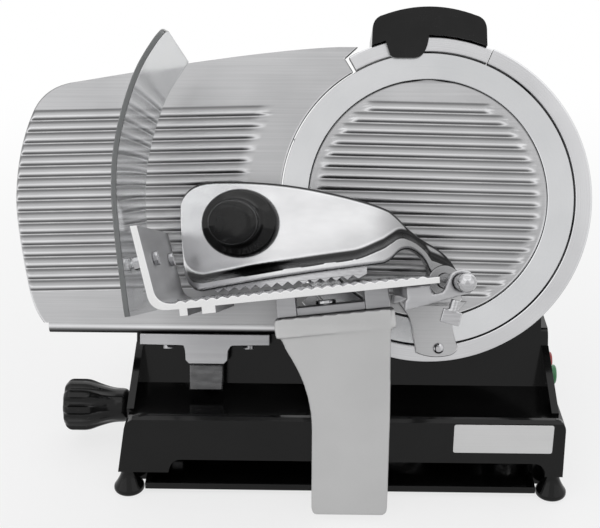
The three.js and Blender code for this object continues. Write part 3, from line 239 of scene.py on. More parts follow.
def block(outline, low, high, edge, place):
    """An outline drawn out along +Z with both rims rounded, taken to its place."""
    steps = 3
    sharpest = 0.35
    points = [Vector(p) for p in outline]
    area = sum(a.cross(b) for a, b in zip(points, points[1:] + points[:1]))
    if area < 0:
        points.reverse()
    inward = []
    for before, point, after in zip(points[-1:] + points[:-1], points, points[1:] + points[:1]):
        first = (point - before).normalized().orthogonal()
        second = (after - point).normalized().orthogonal()
        inward.append((first + second) / max(sharpest, 1 + first.dot(second)))
    levels = []
    for i in range(steps + 1):
        a = math.pi / 2 * i / steps
        levels.append((edge * (1 - math.sin(a)), low + edge * (1 - math.cos(a))))
    levels += [(inset, low + high - level) for inset, level in reversed(levels)]
    made = bmesh.new()
    rings = []
    for inset, level in levels:
        moved = [p + side * inset for p, side in zip(points, inward)]
        rings.append([made.verts.new((p.x, p.y, level)) for p in moved])
    for lower, upper in zip(rings, rings[1:]):
        for i in range(len(points)):
            j = (i + 1) % len(points)
            made.faces.new((lower[i], lower[j], upper[j], upper[i]))
    made.faces.new(reversed(rings[0]))
    made.faces.new(rings[-1])
    bmesh.ops.recalc_face_normals(made, faces=made.faces)
    made.transform(place)
    return made


def rectangle(x0, x1, y0, y1, corner):
    """A closed outline with rounded corners."""
    middle = ((x0 + x1) / 2, y0)
    return rounded([middle, (x1, y0), (x1, y1), (x0, y1), (x0, y0), middle], corner)[:-1]


def together(first, second):
    """Two meshes as one."""
    spare = bpy.data.meshes.new("spare")
    second.to_mesh(spare)
    second.free()
    first.from_mesh(spare)
    bpy.data.meshes.remove(spare)
    return first


pan_edge = 0.0007
pan_low = 0.005
pan_lip = 0.011
pan_left = -0.1276
pan_right = 0.1981
strip_left = -0.1315
strip_front = -0.0812
strip_back = -0.0570
strip_corner = 0.0012
ear_ends = (-0.1440, 0.2120)
ear_low = 0.001
ear_top = 0.027
ear_front = -0.0608
ear_back = -0.0588
ear_corner = 0.0006
ear_edge = 0.0003
pan = softened("bottom_pan", pan_edge)
strip = rectangle(strip_left, pan_left, strip_front, strip_back, strip_corner)
pan = together(pan, block(strip, pan_low, pan_lip, pan_edge, Matrix()))
for left_end, right_end in ((ear_ends[0], pan_left), (pan_right, ear_ends[1])):
    ear = rectangle(left_end, right_end, ear_front, ear_back, ear_corner)
    pan = together(pan, block(ear, ear_low, ear_top, ear_edge, Matrix()))
piece("pan_sheet", pan, "base", gloss_black, "bottom_pan")


# Feet: four feet turned from bar and painted black, one screwed in under each corner of the base.
# Each flares from a short neck to a rounded rim.
def on_circle(radius, angle):
    """The point of a flat circle at an angle in radians."""
    return radius * math.cos(angle), radius * math.sin(angle)


def turned(profile, place, segments):
    """A lathe piece: (radius, height) points about +Z, taken to its place."""
    turn = [2 * math.pi * i / segments for i in range(segments)]
    made = bmesh.new()
    rings = []
    for radius, height in profile:
        if radius < 1e-6:
            rings.append([made.verts.new((0, 0, height))])
            continue
        rings.append([made.verts.new((*on_circle(radius, a), height)) for a in turn])
    for lower, upper in zip(rings, rings[1:]):
        for i in range(segments):
            j = (i + 1) % segments
            corners = [lower[i % len(lower)], lower[j % len(lower)],
                       upper[j % len(upper)], upper[i % len(upper)]]
            made.faces.new(dict.fromkeys(corners))
    bmesh.ops.recalc_face_normals(made, faces=made.faces)
    made.transform(place)
    return made


for corner in ("front_left", "front_right", "rear_left", "rear_right"):
    low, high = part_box(f"foot_{corner}")
    foot_radius = (high.x - low.x) / 2
    foot_height = high.z - low.z
    neck = foot_radius - 0.007
    profile = rounded([
        (0, 0), (foot_radius - 0.002, 0), (foot_radius, 0.002), (foot_radius, 0.005),
        (foot_radius - 0.003, 0.0095), (foot_radius - 0.0055, 0.0145), (neck, 0.019),
        (neck, foot_height), (0, foot_height),
    ], 0.003)
    stand = Matrix.Translation(((low.x + high.x) / 2, (low.y + high.y) / 2, low.z))
    foot = turned(profile, stand, 48)
    piece(f"turned_foot_{corner}", foot, "base", gloss_black, f"foot_{corner}")


# Rating plate: a thin blank plate of satin aluminium on the front panel, right of the arm.
# It is stamped with rounded corners and stuck on.
def aluminium(name, slot, dark, light, roughness, grain):
    """Bare aluminium with a fine grain along X, clouded where hands and cloths have been."""
    finish = Finish(name, slot, {"Metallic": 1.0})
    streaks = finish.noise(finish.stretched((9, grain, grain)), 1, 3)
    clouds = finish.noise(finish.place(), 17, 4)
    finish.feed({
        "Base Color": finish.tint(0.55 * clouds + 0.45 * streaks, dark, light),
        "Roughness": roughness + 0.14 * clouds + 0.1 * streaks,
        "Normal": finish.bump(streaks, 0.12, 0.0003),
    })
    return finish


plate_metal = aluminium(
    "satin_plate", "cast_aluminium", (0.56, 0.56, 0.56), (0.64, 0.64, 0.64), 0.32, 700)
plate_corner = 0.002
plate_edge = 0.0002
low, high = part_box("rating_plate")
stand_up = Matrix.Rotation(math.pi / 2, 4, "X")
plate_outline = rectangle(low.x, high.x, low.z, high.z, plate_corner)
stamped = block(plate_outline, -high.y, -low.y, plate_edge, stand_up)
piece("blank_plate", stamped, "base", plate_metal, "rating_plate")


# Drive: the motor in its hood, its pulley, the flat belt, the spindle and its bearings.
# All of it is closed in by the tower, so the solids stay and only get their metals.
def dress(finish, *nodes):
    """Gives solids that stay their finish."""
    for node in nodes:
        materials = frame["nodes"][node].data.materials
        materials.clear()
        materials.append(finish.material)


bright_steel = Finish("turned_steel", "steel", {"Metallic": 1.0})
tool_marks = bright_steel.noise(bright_steel.stretched((60, 800, 800)), 1, 3)
bright_steel.feed({
    "Base Color": bright_steel.tint(tool_marks, (0.36, 0.36, 0.37), (0.48, 0.48, 0.49)),
    "Roughness": 0.1 + 0.1 * tool_marks,
})
belt_rubber = Finish("belt_rubber", "rubber", {"Specular IOR Level": 0.3})
weave = belt_rubber.noise(belt_rubber.place(), 1300, 2)
belt_rubber.feed({
    "Base Color": belt_rubber.tint(weave, (0.014, 0.014, 0.014), (0.03, 0.03, 0.03)),
    "Roughness": 0.7 + 0.2 * weave,
    "Normal": belt_rubber.bump(weave, 0.3, 0.0003),
})
cast_metal = aluminium(
    "satin_casting", "cast_aluminium", (0.32, 0.32, 0.33), (0.48, 0.48, 0.49), 0.3, 260)
dress(bright_steel, "motor", "motor_pulley", "spindle", "bearing_front", "bearing_rear")
dress(cast_metal, "blade_pulley", "spindle_housing")
dress(belt_rubber, "drive_belt")


# Rear cover: a flat black plate that closes the tower behind the spindle.
# Dome-headed screws round its rim hold it on.
joints = {joint["name"]: joint for joint in frame["record"]["behaviour"]["joints"]}
out = Vector(joints["blade_spin"]["axis"])
right = Vector((1, 0, 0))
up = out.cross(right)
turn_to_head = Matrix((right, up, out)).transposed().to_4x4()
head = Matrix.Translation(joints["blade_spin"]["pos_m"]) @ turn_to_head

rear_edge = 0.0014
rear_level = -0.094
screw_circle = 0.106
screw_angles = (-12, 25, 62, 99)
piece("tower_back", softened("rear_cover", rear_edge), "base", gloss_black, "rear_cover")
dome = rounded([(0, 0), (0.0042, 0), (0.0042, 0.0012), (0.0026, 0.0028), (0, 0.0032)], 0.0012)
flip = Matrix.Rotation(math.pi, 4, "X")
for i, angle in enumerate(screw_angles):
    spot = Matrix.Translation((*on_circle(screw_circle, math.radians(angle)), rear_level))
    piece(f"back_screw_{i + 1}", turned(dome, head @ spot @ flip, 32), "base", bright_steel)


# Ring guard: an aluminium ring round the blade's edge, open where the gauge plate is.
# Its face is turned and polished, and below the face its sides are painted near black, as painted
# shade in the gap round the blade.
# Three lugs behind it seat on the tower.
def lofted(loops, place):
    """A solid drawn through closed loops of points, with a flat cap at both ends."""
    made = bmesh.new()
    rings = [[made.verts.new(spot) for spot in loop] for loop in loops]
    for first, second in zip(rings, rings[1:]):
        for i in range(len(first)):
            j = (i + 1) % len(first)
            made.faces.new((first[i], first[j], second[j], second[i]))
    made.faces.new(rings[0])
    made.faces.new(reversed(rings[-1]))
    bmesh.ops.recalc_face_normals(made, faces=made.faces)
    made.transform(place)
    return made


def turns(start, end, steps):
    """Even angles in radians, from one angle in degrees to another."""
    return [math.radians(start + (end - start) * i / steps) for i in range(steps + 1)]


def sector(inner, outer, back, face, start, end, edge, steps):
    """A ring sector round the blade's axis, with a rounded section."""
    section = rectangle(inner, outer, back, face, edge)
    loops = [[(*on_circle(r, a), w) for r, w in section] for a in turns(start, end, steps)]
    return lofted(loops, head)


def ringed(name, slot, dark, light, roughness, rings_per_metre, dull_and_shade_tone, dull_and_shade_below):
    """A metal worked in rings round the blade's axis, darker and rougher below a height on that
    axis: the blade's duller back, and painted shade on the guard's sides.
    """
    blend = 0.0006
    finish = Finish(name, slot, {"Metallic": 1.0})
    arm = finish.vector("SUBTRACT", finish.place(), head.translation)
    distance = finish.vector("LENGTH", finish.vector("CROSS_PRODUCT", arm, out))
    spot = finish.node("ShaderNodeCombineXYZ", {}, {"X": distance * rings_per_metre})
    marks = finish.noise(spot, 1, 3)
    clouds = finish.noise(finish.place(), 14, 3)
    height = finish.vector("DOT_PRODUCT", arm, out)
    dull_and_shaded = finish.between(height, dull_and_shade_below, dull_and_shade_below - blend)
    worked = finish.tint(0.6 * marks + 0.4 * clouds, dark, light)
    finish.feed({
        "Base Color": finish.mixed(dull_and_shaded, worked, dull_and_shade_tone),
        "Roughness": roughness + 0.12 * marks + 0.08 * clouds + 0.3 * dull_and_shaded,
        "Normal": finish.bump(marks, 0.1, 0.0002),
    })
    return finish


# Painted shade: below its face the guard, and the sharpener arc that shares its finish, is painted
# near black to stand for the shade in the gap by the blade.
turned_guard = ringed(
    "turned_guard", "polished_aluminium", (0.44, 0.44, 0.45), (0.66, 0.66, 0.67), 0.14, 1400,
    dull_and_shade_tone=(0.12, 0.12, 0.124, 1), dull_and_shade_below=-0.0012)
guard_inner = 0.1262
guard_outer = 0.1405
guard_back = -0.014
guard_face = 0.0005
guard_start = -140
guard_end = 66.6
guard_edge = 0.0016
lug_root = 0.102
lug_half = 0.009
lug_back = -0.0297
lug_corner = 0.002
lug_edge = 0.0008
guard = sector(
    guard_inner, guard_outer, guard_back, guard_face, guard_start, guard_end, guard_edge, 120)
lug_outline = rectangle(lug_root, guard_outer - 0.003, -lug_half, lug_half, lug_corner)
for angle in (-62, -10, 50):
    lug_place = head @ Matrix.Rotation(math.radians(angle), 4, "Z")
    lug = block(lug_outline, lug_back, guard_back + 0.001, lug_edge, lug_place)
    guard = together(guard, lug)
piece("polished_guard", guard, "base", turned_guard, "ring_guard")


# Blade: a dished steel disc with a wide ground bevel that comes to the cutting edge.
# The grinding leaves fine rings round the axis, and the back stays duller.
ground_steel = ringed(
    "ground_steel", "blade_steel", (0.5, 0.51, 0.52), (0.7, 0.7, 0.71), 0.1, 2600,
    dull_and_shade_tone=(0.42, 0.42, 0.43, 1), dull_and_shade_below=-0.0035)
blade_radius = 0.125
bevel_foot = 0.103
dish = -0.005
blade_back = -0.008
bore = 0.009
blade_profile = [
    (bore, blade_back), (bevel_foot + 0.002, blade_back), (blade_radius - 0.007, -0.004),
    (blade_radius, -0.0006), (blade_radius - 0.0004, -0.0002), (bevel_foot + 0.0006, -0.0023),
    (bevel_foot, -0.0026), (bevel_foot - 0.001, dish), (bore, dish), (bore, blade_back),
]
knife = turned(blade_profile, head, 160)
piece("ground_blade", knife, "blade_unit", ground_steel, "blade", smooth=20)


# Blade cover: a cast aluminium disc in the blade's dish, with level ribs on its face.
# A tab at the bottom reaches over the guard, where one dome-headed screw holds it.
def bar(distance, width, height):
    """The height of a rounded rib at a distance from its middle line."""
    inside = 1 - (2 * distance / width) ** 2
    return height * inside ** 0.8 if inside > 0 else 0


def fade(distance, length):
    """Runs from 0 at a rib's end to 1 further along it."""
    t = min(1, max(0, distance / length))
    return math.sqrt(t * (2 - t))


def rolled(rim):
    """How far a rounded rim has fallen, in parts of its radius."""
    return 1 - math.sqrt(max(0, 1 - rim ** 2))


def ribbed(rows, span, face, back, columns, place):
    """A plate made row by row, from each row's two ends and the heights of its two sides."""
    made = bmesh.new()
    fronts = []
    backs = []
    for v in rows:
        left, end = span(v)
        across = [left + (end - left) * t for t in columns]
        fronts.append([made.verts.new((u, v, face(u, v))) for u in across])
        backs.append([made.verts.new((u, v, back(u, v))) for u in across])
    for grid in (fronts, backs):
        for lower, upper in zip(grid, grid[1:]):
            for i in range(len(columns) - 1):
                made.faces.new((lower[i], lower[i + 1], upper[i + 1], upper[i]))
    rims = []
    for grid in (fronts, backs):
        ends = [row[-1] for row in grid[:-1]]
        starts = [row[0] for row in grid[:0:-1]]
        rims.append(grid[0][:-1] + ends + grid[-1][:0:-1] + starts)
    rim, under = rims
    for i in range(len(rim)):
        j = (i + 1) % len(rim)
        made.faces.new((rim[i], rim[j], under[j], under[i]))
    bmesh.ops.recalc_face_normals(made, faces=made.faces)
    made.transform(place)
    return made


def easing(count):
    """Places from 0 to 1, closer together at both ends."""
    return [(1 - math.cos(math.pi * i / count)) / 2 for i in range(count + 1)]


rib_pitch = 0.0098
rib_width = 0.0086
rib_height = 0.0017
row_step = 0.0007
cover_radius = 0.102
cover_face = -0.0007
cover_back = -0.0041
cover_rim = 0.0012
cover_slope = math.tan(math.radians(-1))
cover_ribs = 17
cover_rib_end = 0.0945
cover_rib_fade = 0.006


def cover_height(u, v):
    """The cover's face, with its ribs and its rounded rim."""
    level = v - cover_slope * u
    nearest = round(level / rib_pitch + (cover_ribs - 1) / 2)
    rim = max(0, math.hypot(u, v) - cover_radius + cover_rim) / cover_rim
    face = cover_face - cover_rim * rolled(rim)
    if not 0 <= nearest < cover_ribs:
        return face
    middle = (nearest - (cover_ribs - 1) / 2) * rib_pitch
    half = math.sqrt(cover_rib_end ** 2 - middle ** 2)
    return face + bar(level - middle, rib_width, rib_height) * fade(half - abs(u), cover_rib_fade)


def cover_span(v):
    """The two ends of a level row across the cover."""
    half = math.sqrt(max(0, cover_radius ** 2 - v ** 2)) + 0.0002
    return -half, half


cover_top = cover_radius * math.cos(math.pi / 16)
cover_tip = cover_radius - 0.0001
cover_rows = [-cover_tip, *np.arange(-cover_top, cover_top, row_step).tolist(), cover_tip]


def towards(finish, way):
    """How squarely a face looks along a direction."""
    facing = finish.node("ShaderNodeNewGeometry", {}, {}, "Normal")
    return finish.vector("DOT_PRODUCT", facing, way)


def shaded(finish, steps, metal):
    """The metal's colour with painted shade and painted highlight, set by how far a face looks down
    (0) or up (1) the head's slope.
    """
    stops = [(at, (grey,) * 3) for at, grey in steps]
    looks_up = 0.5 + 0.5 * towards(finish, up)
    shades = finish.node("ShaderNodeValToRGB", {"stops": stops}, {"Fac": looks_up})
    return finish.mixed(1.0, shades, metal, "MULTIPLY")


def ribbed_metal(name, dark, light):
    """Brushed aluminium, with painted highlights along its ribs' lower edges and painted shade
    beneath them.
    """
    finish = Finish(name, "cast_aluminium", {"Metallic": 1.0})
    streaks = finish.noise(finish.stretched((9, 900, 900)), 1, 3)
    clouds = finish.noise(finish.place(), 8, 3)
    metal = finish.tint(0.7 * clouds + 0.3 * streaks, dark, light)
    # Painted light: each rib face is painted bright or dark by how it tilts, standing in for
    # highlight and shade.
    painted_rib_shading = [
        (0.12, 0.03), (0.28, 0.28), (0.39, 1.0), (0.44, 1.0),
        (0.49, 0.66), (0.54, 0.52), (0.7, 0.26), (0.9, 0.1)]
    finish.feed({
        "Base Color": shaded(finish, painted_rib_shading, metal),
        "Roughness": 0.26 + 0.14 * clouds + 0.1 * streaks,
        "Normal": finish.bump(streaks, 0.1, 0.0003),
    })
    return finish


cover_metal = ribbed_metal("brushed_cover", (0.52, 0.52, 0.53), (0.8, 0.8, 0.81))
disc = ribbed(cover_rows, cover_span, cover_height, lambda u, v: cover_back, easing(46), head)


def bend(start, control, end, steps=8):
    """A curve between two points, drawn towards a third."""
    spots = [Vector(p) for p in (start, control, end)]
    t = [i / steps for i in range(steps + 1)]
    return [spots[0] * (1 - k) ** 2 + spots[1] * 2 * k * (1 - k) + spots[2] * k ** 2 for k in t]


tab_outline = [
    *bend((-0.026, -0.088), (-0.012, -0.103), (-0.0125, -0.114)),
    *bend((-0.0095, -0.132), (0.0048, -0.138), (0.020, -0.134)),
    *bend((0.020, -0.134), (0.027, -0.131), (0.026, -0.126))[1:],
    *bend((0.026, -0.126), (0.020, -0.110), (0.022, -0.100))[1:],
    (0.034, -0.088),
]
tab_root = rounded([
    (-0.022, -0.08), (-0.024, -0.086), (-0.020, -0.093), (0.026, -0.093), (0.030, -0.086),
    (0.028, -0.08),
], 0.002)
tab_back = 0.0008
tab_face = 0.004
tab_edge = 0.0009
root_back = -0.004
root_edge = 0.001
disc = together(disc, block(tab_outline, tab_back, tab_face, tab_edge, head))
disc = together(disc, block(tab_root, root_back, tab_face, root_edge, head))
piece("ribbed_cover", disc, "base", cover_metal, "blade_cover", smooth=55)

screw_spot = head @ Matrix.Translation((0.0099, -0.1281, tab_back))
seat = tab_face - tab_back
cover_bolt = rounded([
    (0, 0), (0.003, 0), (0.003, seat), (0.0047, seat), (0.0045, seat + 0.0014),
    (0.0028, seat + 0.0026), (0, seat + 0.0031),
], 0.0008)
piece("dome_screw", turned(cover_bolt, screw_spot, 40), "base", bright_steel, "cover_screw")


# Sharpener: an aluminium arc closes the guard under a moulded black cap.
# The cap's sleeve lifts on a square post, and a fork behind the arc holds the post.
# Two stones sit inside the cap on the stems of two push buttons.
moulded_black = Finish("moulded_black", "black_plastic", {
    "Specular IOR Level": 0.2, "Coat Weight": 0.1, "Coat Roughness": 0.05})
moulding = moulded_black.noise(moulded_black.place(), 900, 2)
scuffs = moulded_black.noise(moulded_black.place(), 40, 4)
moulded_black.feed({
    "Base Color": moulded_black.tint(scuffs, (0.004, 0.004, 0.004), (0.009, 0.009, 0.009)),
    "Roughness": 0.1 + 0.12 * scuffs,
    "Normal": moulded_black.bump(moulding, 0.05, 0.0003),
})
grit = Finish("grinding_stone", "stone", {"Specular IOR Level": 0.2})
grains = grit.noise(grit.place(), 2400, 3)
grit.feed({
    "Base Color": grit.tint(grains, (0.2, 0.08, 0.05), (0.42, 0.2, 0.14)),
    "Roughness": 0.85 + 0.1 * grains,
    "Normal": grit.bump(grains, 0.6, 0.0004),
})
sharpener_outer = 0.1393
arc_start = 67
arc_end = 119.4
arc_edge = 0.0014
arc = sector(
    guard_inner, sharpener_outer, guard_back, guard_face, arc_start, arc_end, arc_edge, 48)
carrier_half = 0.030
carrier_back = -0.060
carrier_front = guard_back + 0.002
carrier_under = 0.1295
carrier_over = 0.1365
carrier_edge = 0.0008
fork_half = 0.0095
fork_root = -0.0425
carrier_side = [
    (carrier_half, carrier_front), (carrier_half, carrier_back), (fork_half, carrier_back),
    (fork_half, fork_root)]
other_side = [(-x, y) for x, y in reversed(carrier_side)]
carrier_middle = (0, carrier_front)
carrier_outline = rounded([carrier_middle, *carrier_side, *other_side, carrier_middle], 0.002)[:-1]
lie_flat = Matrix.Rotation(-math.pi / 2, 4, "X") @ Matrix.Scale(-1, 4, (0, 1, 0))
carrier = block(carrier_outline, carrier_under, carrier_over, carrier_edge, head @ lie_flat)
piece("sharpener_arc", together(arc, carrier), "base", turned_guard, "sharpener_base")
piece("square_post", softened("sharpener_post", 0.0008), "base", bright_steel, "sharpener_post")
piece("moulded_cap", softened("sharpener_cap", 0.0022), "sharpener", moulded_black, "sharpener_cap")
button_edge = 0.0007
for name in ("sharpening", "honing"):
    stone = softened(f"{name}_stone", button_edge)
    piece(f"{name}_wheel", stone, f"{name}_unit", grit, f"{name}_stone")
    button = softened(f"{name}_button", button_edge)
    piece(f"{name}_push", button, f"{name}_unit", moulded_black, f"{name}_button")


# Gauge plate: a ribbed aluminium plate whose right edge runs round the blade.
# Its lower edge is bent back to a lip, and the ribs end short of both edges.
gauge_face = -0.0006
gauge_back = -0.0056
gauge_bottom = -0.118
gauge_top = 0.1303
gauge_right = -0.125
gauge_tip = (-0.0605, 0.1304)
gauge_left_edge = [
    *bend((-0.320, gauge_bottom), (-0.337, -0.108), (-0.3435, -0.078)),
    *bend((-0.3435, -0.078), (-0.3556, -0.022), (-0.355, 0))[1:],
    *bend((-0.355, 0), (-0.3544, 0.040), (-0.342, 0.070))[1:],
    *bend((-0.342, 0.070), (-0.334, 0.092), (-0.310, 0.0975))[1:],
    *bend((-0.2096, 0.1147), (-0.110, 0.130), gauge_tip),
]
gauge_right_edge = [
    (gauge_right, gauge_bottom), *[on_circle(guard_inner, a) for a in turns(214, 120.9, 60)],
    (-0.072, 0.1198), gauge_tip,
]
gauge_rim = 0.0014
gauge_ribs = 16
top_rib = 0.0715
gauge_slope = math.tan(math.radians(1.6))
gauge_pivot = -0.255
gauge_rib_end = guard_inner + 0.031
rib_inset = 0.0008
rib_rise = 0.0025
rib_run_out = 0.007


def gauge_span(v):
    """The two ends of a level row across the gauge plate."""
    left = np.interp(v, [p[1] for p in gauge_left_edge], [p[0] for p in gauge_left_edge])
    end = np.interp(v, [p[1] for p in gauge_right_edge], [p[0] for p in gauge_right_edge])
    return left, max(end, left + 0.0004)


def gauge_height(u, v):
    """The gauge plate's face, with its ribs and its rounded rim."""
    left, end = gauge_span(v)
    rim = max(0, 1 - min(u - left, end - u) / gauge_rim)
    face = gauge_face - gauge_rim * rolled(rim)
    level = v - gauge_slope * (u - gauge_pivot)
    nearest = round((top_rib - level) / rib_pitch)
    if not 0 <= nearest < gauge_ribs:
        return face
    middle = top_rib - nearest * rib_pitch
    stop = -math.sqrt(gauge_rib_end ** 2 - middle ** 2)
    reach = min(fade(u - left - rib_inset, rib_rise), fade(stop - u, rib_run_out))
    return face + bar(level - middle, rib_width, rib_height) * reach


gauge_rows = np.arange(gauge_bottom + 0.0084, gauge_top, row_step).tolist()
gauge_metal = ribbed_metal("brushed_gauge", (0.5, 0.5, 0.51), (0.82, 0.82, 0.83))
plate = ribbed(gauge_rows, gauge_span, gauge_height, lambda u, v: gauge_back, easing(58), head)
lip_join = gauge_bottom + 0.0085
lip_left = -0.3255
lip_back = -0.013
lip_edge = 0.0004
lip_bend = bend(
    (gauge_bottom + 0.008, gauge_face), (gauge_bottom, gauge_face),
    (gauge_bottom, gauge_face - 0.007), 12)
lip_section = rounded([
    (lip_join, -0.003), (lip_join, gauge_face), *lip_bend, (gauge_bottom, lip_back),
    (gauge_bottom + 0.003, lip_back), (gauge_bottom + 0.004, gauge_back - 0.002),
    (lip_join, gauge_back), (lip_join, -0.003),
], 0.0003, 2)[:-1]
along_x = Matrix(((0, 0, 1), (1, 0, 0), (0, 1, 0))).to_4x4()
lip = block(lip_section, lip_left, gauge_right - 0.001, lip_edge, head @ along_x)
piece("ribbed_gauge", together(plate, lip), "gauge", gauge_metal, "gauge_plate", smooth=55)
piece("gauge_carrier", softened("gauge_bracket", 0.0012), "gauge", cast_metal, "gauge_bracket")
blackened = Finish("blackened_steel", "steel", {"Metallic": 1.0})
oxide = blackened.noise(blackened.stretched((70, 240, 240)), 1, 4)
blackened.feed({
    "Base Color": blackened.tint(oxide, (0.07, 0.07, 0.072), (0.13, 0.13, 0.132)),
    "Roughness": 0.2 + 0.14 * oxide,
    "Normal": blackened.bump(oxide, 0.08, 0.0002),
})
piece("gauge_block", softened("gauge_slider", 0.0028), "gauge", blackened, "gauge_slider")
dress(bright_steel, "gauge_rod", "gauge_follower")
dress(cast_metal, "gauge_guide")


# Thickness knob: moulded in black with deep flutes round its grip and a narrow neck.
# It turns the scroll disc inside the base, which draws the gauge plate back.
knob_axis = Vector(joints["thickness_turn"]["pos_m"])
low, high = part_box("thickness_knob")
knob_length = high.x - low.x
knob_radius = (high.z - low.z) / 2 + 0.0002
flutes = 10
flute_depth = 0.0032
flute_half = 0.3
flute_start = 0.010
flute_run = 0.024
knob_line = rounded([
    (0, 0), (knob_radius - 0.008, 0), (knob_radius - 0.0076, 0.014), (knob_radius - 0.004, 0.026),
    (knob_radius, 0.036), (knob_radius, knob_length - 0.005),
    (knob_radius - 0.004, knob_length - 0.0008), (0, knob_length),
], 0.008, 10)


def fluted(profile, place):
    """The knob's lathe form with hollows pressed into its grip."""
    made = turned(profile, Matrix(), 160)
    for vert in made.verts:
        reach = math.hypot(vert.co.x, vert.co.y)
        turn = math.atan2(vert.co.y, vert.co.x) * flutes / (2 * math.pi) % 1
        hollow = max(0, 1 - (abs(turn - 0.5) / flute_half) ** 2) ** 0.7
        grip = fade(vert.co.z - flute_start, flute_run) * min(1, reach / knob_radius) ** 4
        depth = flute_depth * hollow * grip
        if reach > 1e-5:
            vert.co.x -= vert.co.x / reach * depth
            vert.co.y -= vert.co.y / reach * depth
    made.transform(place)
    return made


knob_foot = Matrix.Translation((high.x, knob_axis.y, knob_axis.z))
to_left = knob_foot @ Matrix.Rotation(-math.pi / 2, 4, "Y")
piece("fluted_knob", fluted(knob_line, to_left), "adjuster", moulded_black, "thickness_knob")
dress(bright_steel, "scroll_shaft")


# Carriage guides: a ground rod and a channel rail in the base, and the block that runs on them.
# A bronze bush lines the block, and a nylon shoe keeps it from turning.
bush_bronze = Finish("bush_bronze", "bronze", {"Metallic": 1.0})
patina = bush_bronze.noise(bush_bronze.place(), 160, 4)
bush_bronze.feed({
    "Base Color": bush_bronze.tint(patina, (0.36, 0.2, 0.08), (0.6, 0.38, 0.18)),
    "Roughness": 0.28 + 0.2 * patina,
})
shoe_nylon = Finish("shoe_nylon", "nylon", {"Specular IOR Level": 0.4})
milk = shoe_nylon.noise(shoe_nylon.place(), 120, 3)
shoe_nylon.feed({
    "Base Color": shoe_nylon.tint(milk, (0.66, 0.64, 0.58), (0.8, 0.79, 0.74)),
    "Roughness": 0.45 + 0.15 * milk,
})
dress(bright_steel, "carriage_rod", "carriage_rail")
dress(bush_bronze, "slide_bush")
dress(shoe_nylon, "guide_shoe")
piece("running_block", softened("slide_block", 0.001), "carriage", cast_metal, "slide_block")


# Carriage arm: a cast leg in front of the base, with a head that spreads out under the tray.
# It is ground and sprayed satin, so its edges are soft and its face has a fine even grain.
def cast(node, grain, passes):
    """The node's solid as a casting: remeshed and worn smooth, so that its corners get fillets."""
    pattern = bpy.data.objects.new("pattern", frame["nodes"][node].data.copy())
    bpy.context.collection.objects.link(pattern)
    weld = pattern.modifiers.new("weld", "WELD")
    weld.merge_threshold = 1e-6
    skin = pattern.modifiers.new("skin", "REMESH")
    skin.mode = "VOXEL"
    skin.voxel_size = grain
    wear = pattern.modifiers.new("wear", "SMOOTH")
    wear.factor = 0.5
    wear.iterations = passes
    made = bmesh.new()
    made.from_object(pattern, bpy.context.evaluated_depsgraph_get())
    bpy.data.objects.remove(pattern)
    return made


arm_satin = Finish("satin_arm", "cast_aluminium", {"Metallic": 1.0})
blasting = arm_satin.noise(arm_satin.place(), 1500, 2)
arm_clouds = arm_satin.noise(arm_satin.place(), 12, 3)
arm_mix = 0.7 * arm_clouds + 0.3 * blasting
arm_satin.feed({
    "Base Color": arm_satin.tint(arm_mix, (0.47, 0.47, 0.47), (0.57, 0.57, 0.57)),
    "Roughness": 0.42 + 0.14 * blasting,
    "Normal": arm_satin.bump(blasting, 0.1, 0.0002),
})
arm_casting = cast("carriage_arm", 0.0013, 9)
piece("cast_arm", arm_casting, "carriage", arm_satin, "carriage_arm", smooth=180)
piece("tray_posts", softened("tray_bracket", 0.001), "carriage", cast_metal, "tray_bracket")
piece("post_bolt", softened("bracket_bolt", 0.0007), "carriage", bright_steel, "bracket_bolt")


# Food tray: polished aluminium with fine ribs along its depth and a wall on the left.
# The ribs' rounded ends make the scalloped front edge.
tray_tilt = math.radians(6.3)
tray_spot = head @ Matrix.Translation((-0.100, -0.0766, 0))
tray_place = tray_spot @ Matrix.Rotation(tray_tilt, 4, "Z")
tray_left = -0.108
tray_right = 0.094
tray_thick = 0.0045
tray_wall = 0.058
tray_lean = 0.008
tray_back = 0.012
tray_front = 0.193
tray_round = 0.013
tray_edge = 0.0005
tray_rib = 0.0014
tray_rib_width = 0.0068
tray_pitch = 0.0075
foot_level = -tray_thick - 0.005
tray_line = [(tray_right, 0), (tray_right, -tray_thick)]
for middle, width in ((-0.071, 0.010), (-0.089, 0.006)):
    tray_line += [
        (middle + width / 2, -tray_thick), (middle + width / 2, foot_level),
        (middle - width / 2, foot_level), (middle - width / 2, -tray_thick),
    ]
tray_line += bend(
    (tray_left + 0.009, -tray_thick), (tray_left - 0.005, -tray_thick), (tray_left - 0.006, 0.009))
tray_line += [(tray_left - 0.005 - tray_lean, tray_wall), (tray_left - tray_lean, tray_wall)]
tray_line += bend((tray_left - 0.001, tray_round), (tray_left, 0), (tray_left + tray_round, 0))
for i in range(int((tray_right - 0.004 - tray_left - tray_round) / tray_pitch)):
    start = tray_left + tray_round + 0.001 + i * tray_pitch
    for k in range(7):
        rise = tray_rib * math.sin(math.pi * k / 6)
        tray_line.append((start + tray_rib_width * k / 6, rise))

tray_metal = Finish("polished_tray", "polished_aluminium", {"Metallic": 1.0})
tray_streaks = tray_metal.noise(tray_metal.stretched((420, 9, 30)), 1, 3)
tray_clouds = tray_metal.noise(tray_metal.place(), 17, 4)
tray_mix = 0.5 * tray_streaks + 0.5 * tray_clouds
floor_tone = tray_metal.tint(tray_mix, (0.36, 0.36, 0.37), (0.56, 0.56, 0.57))
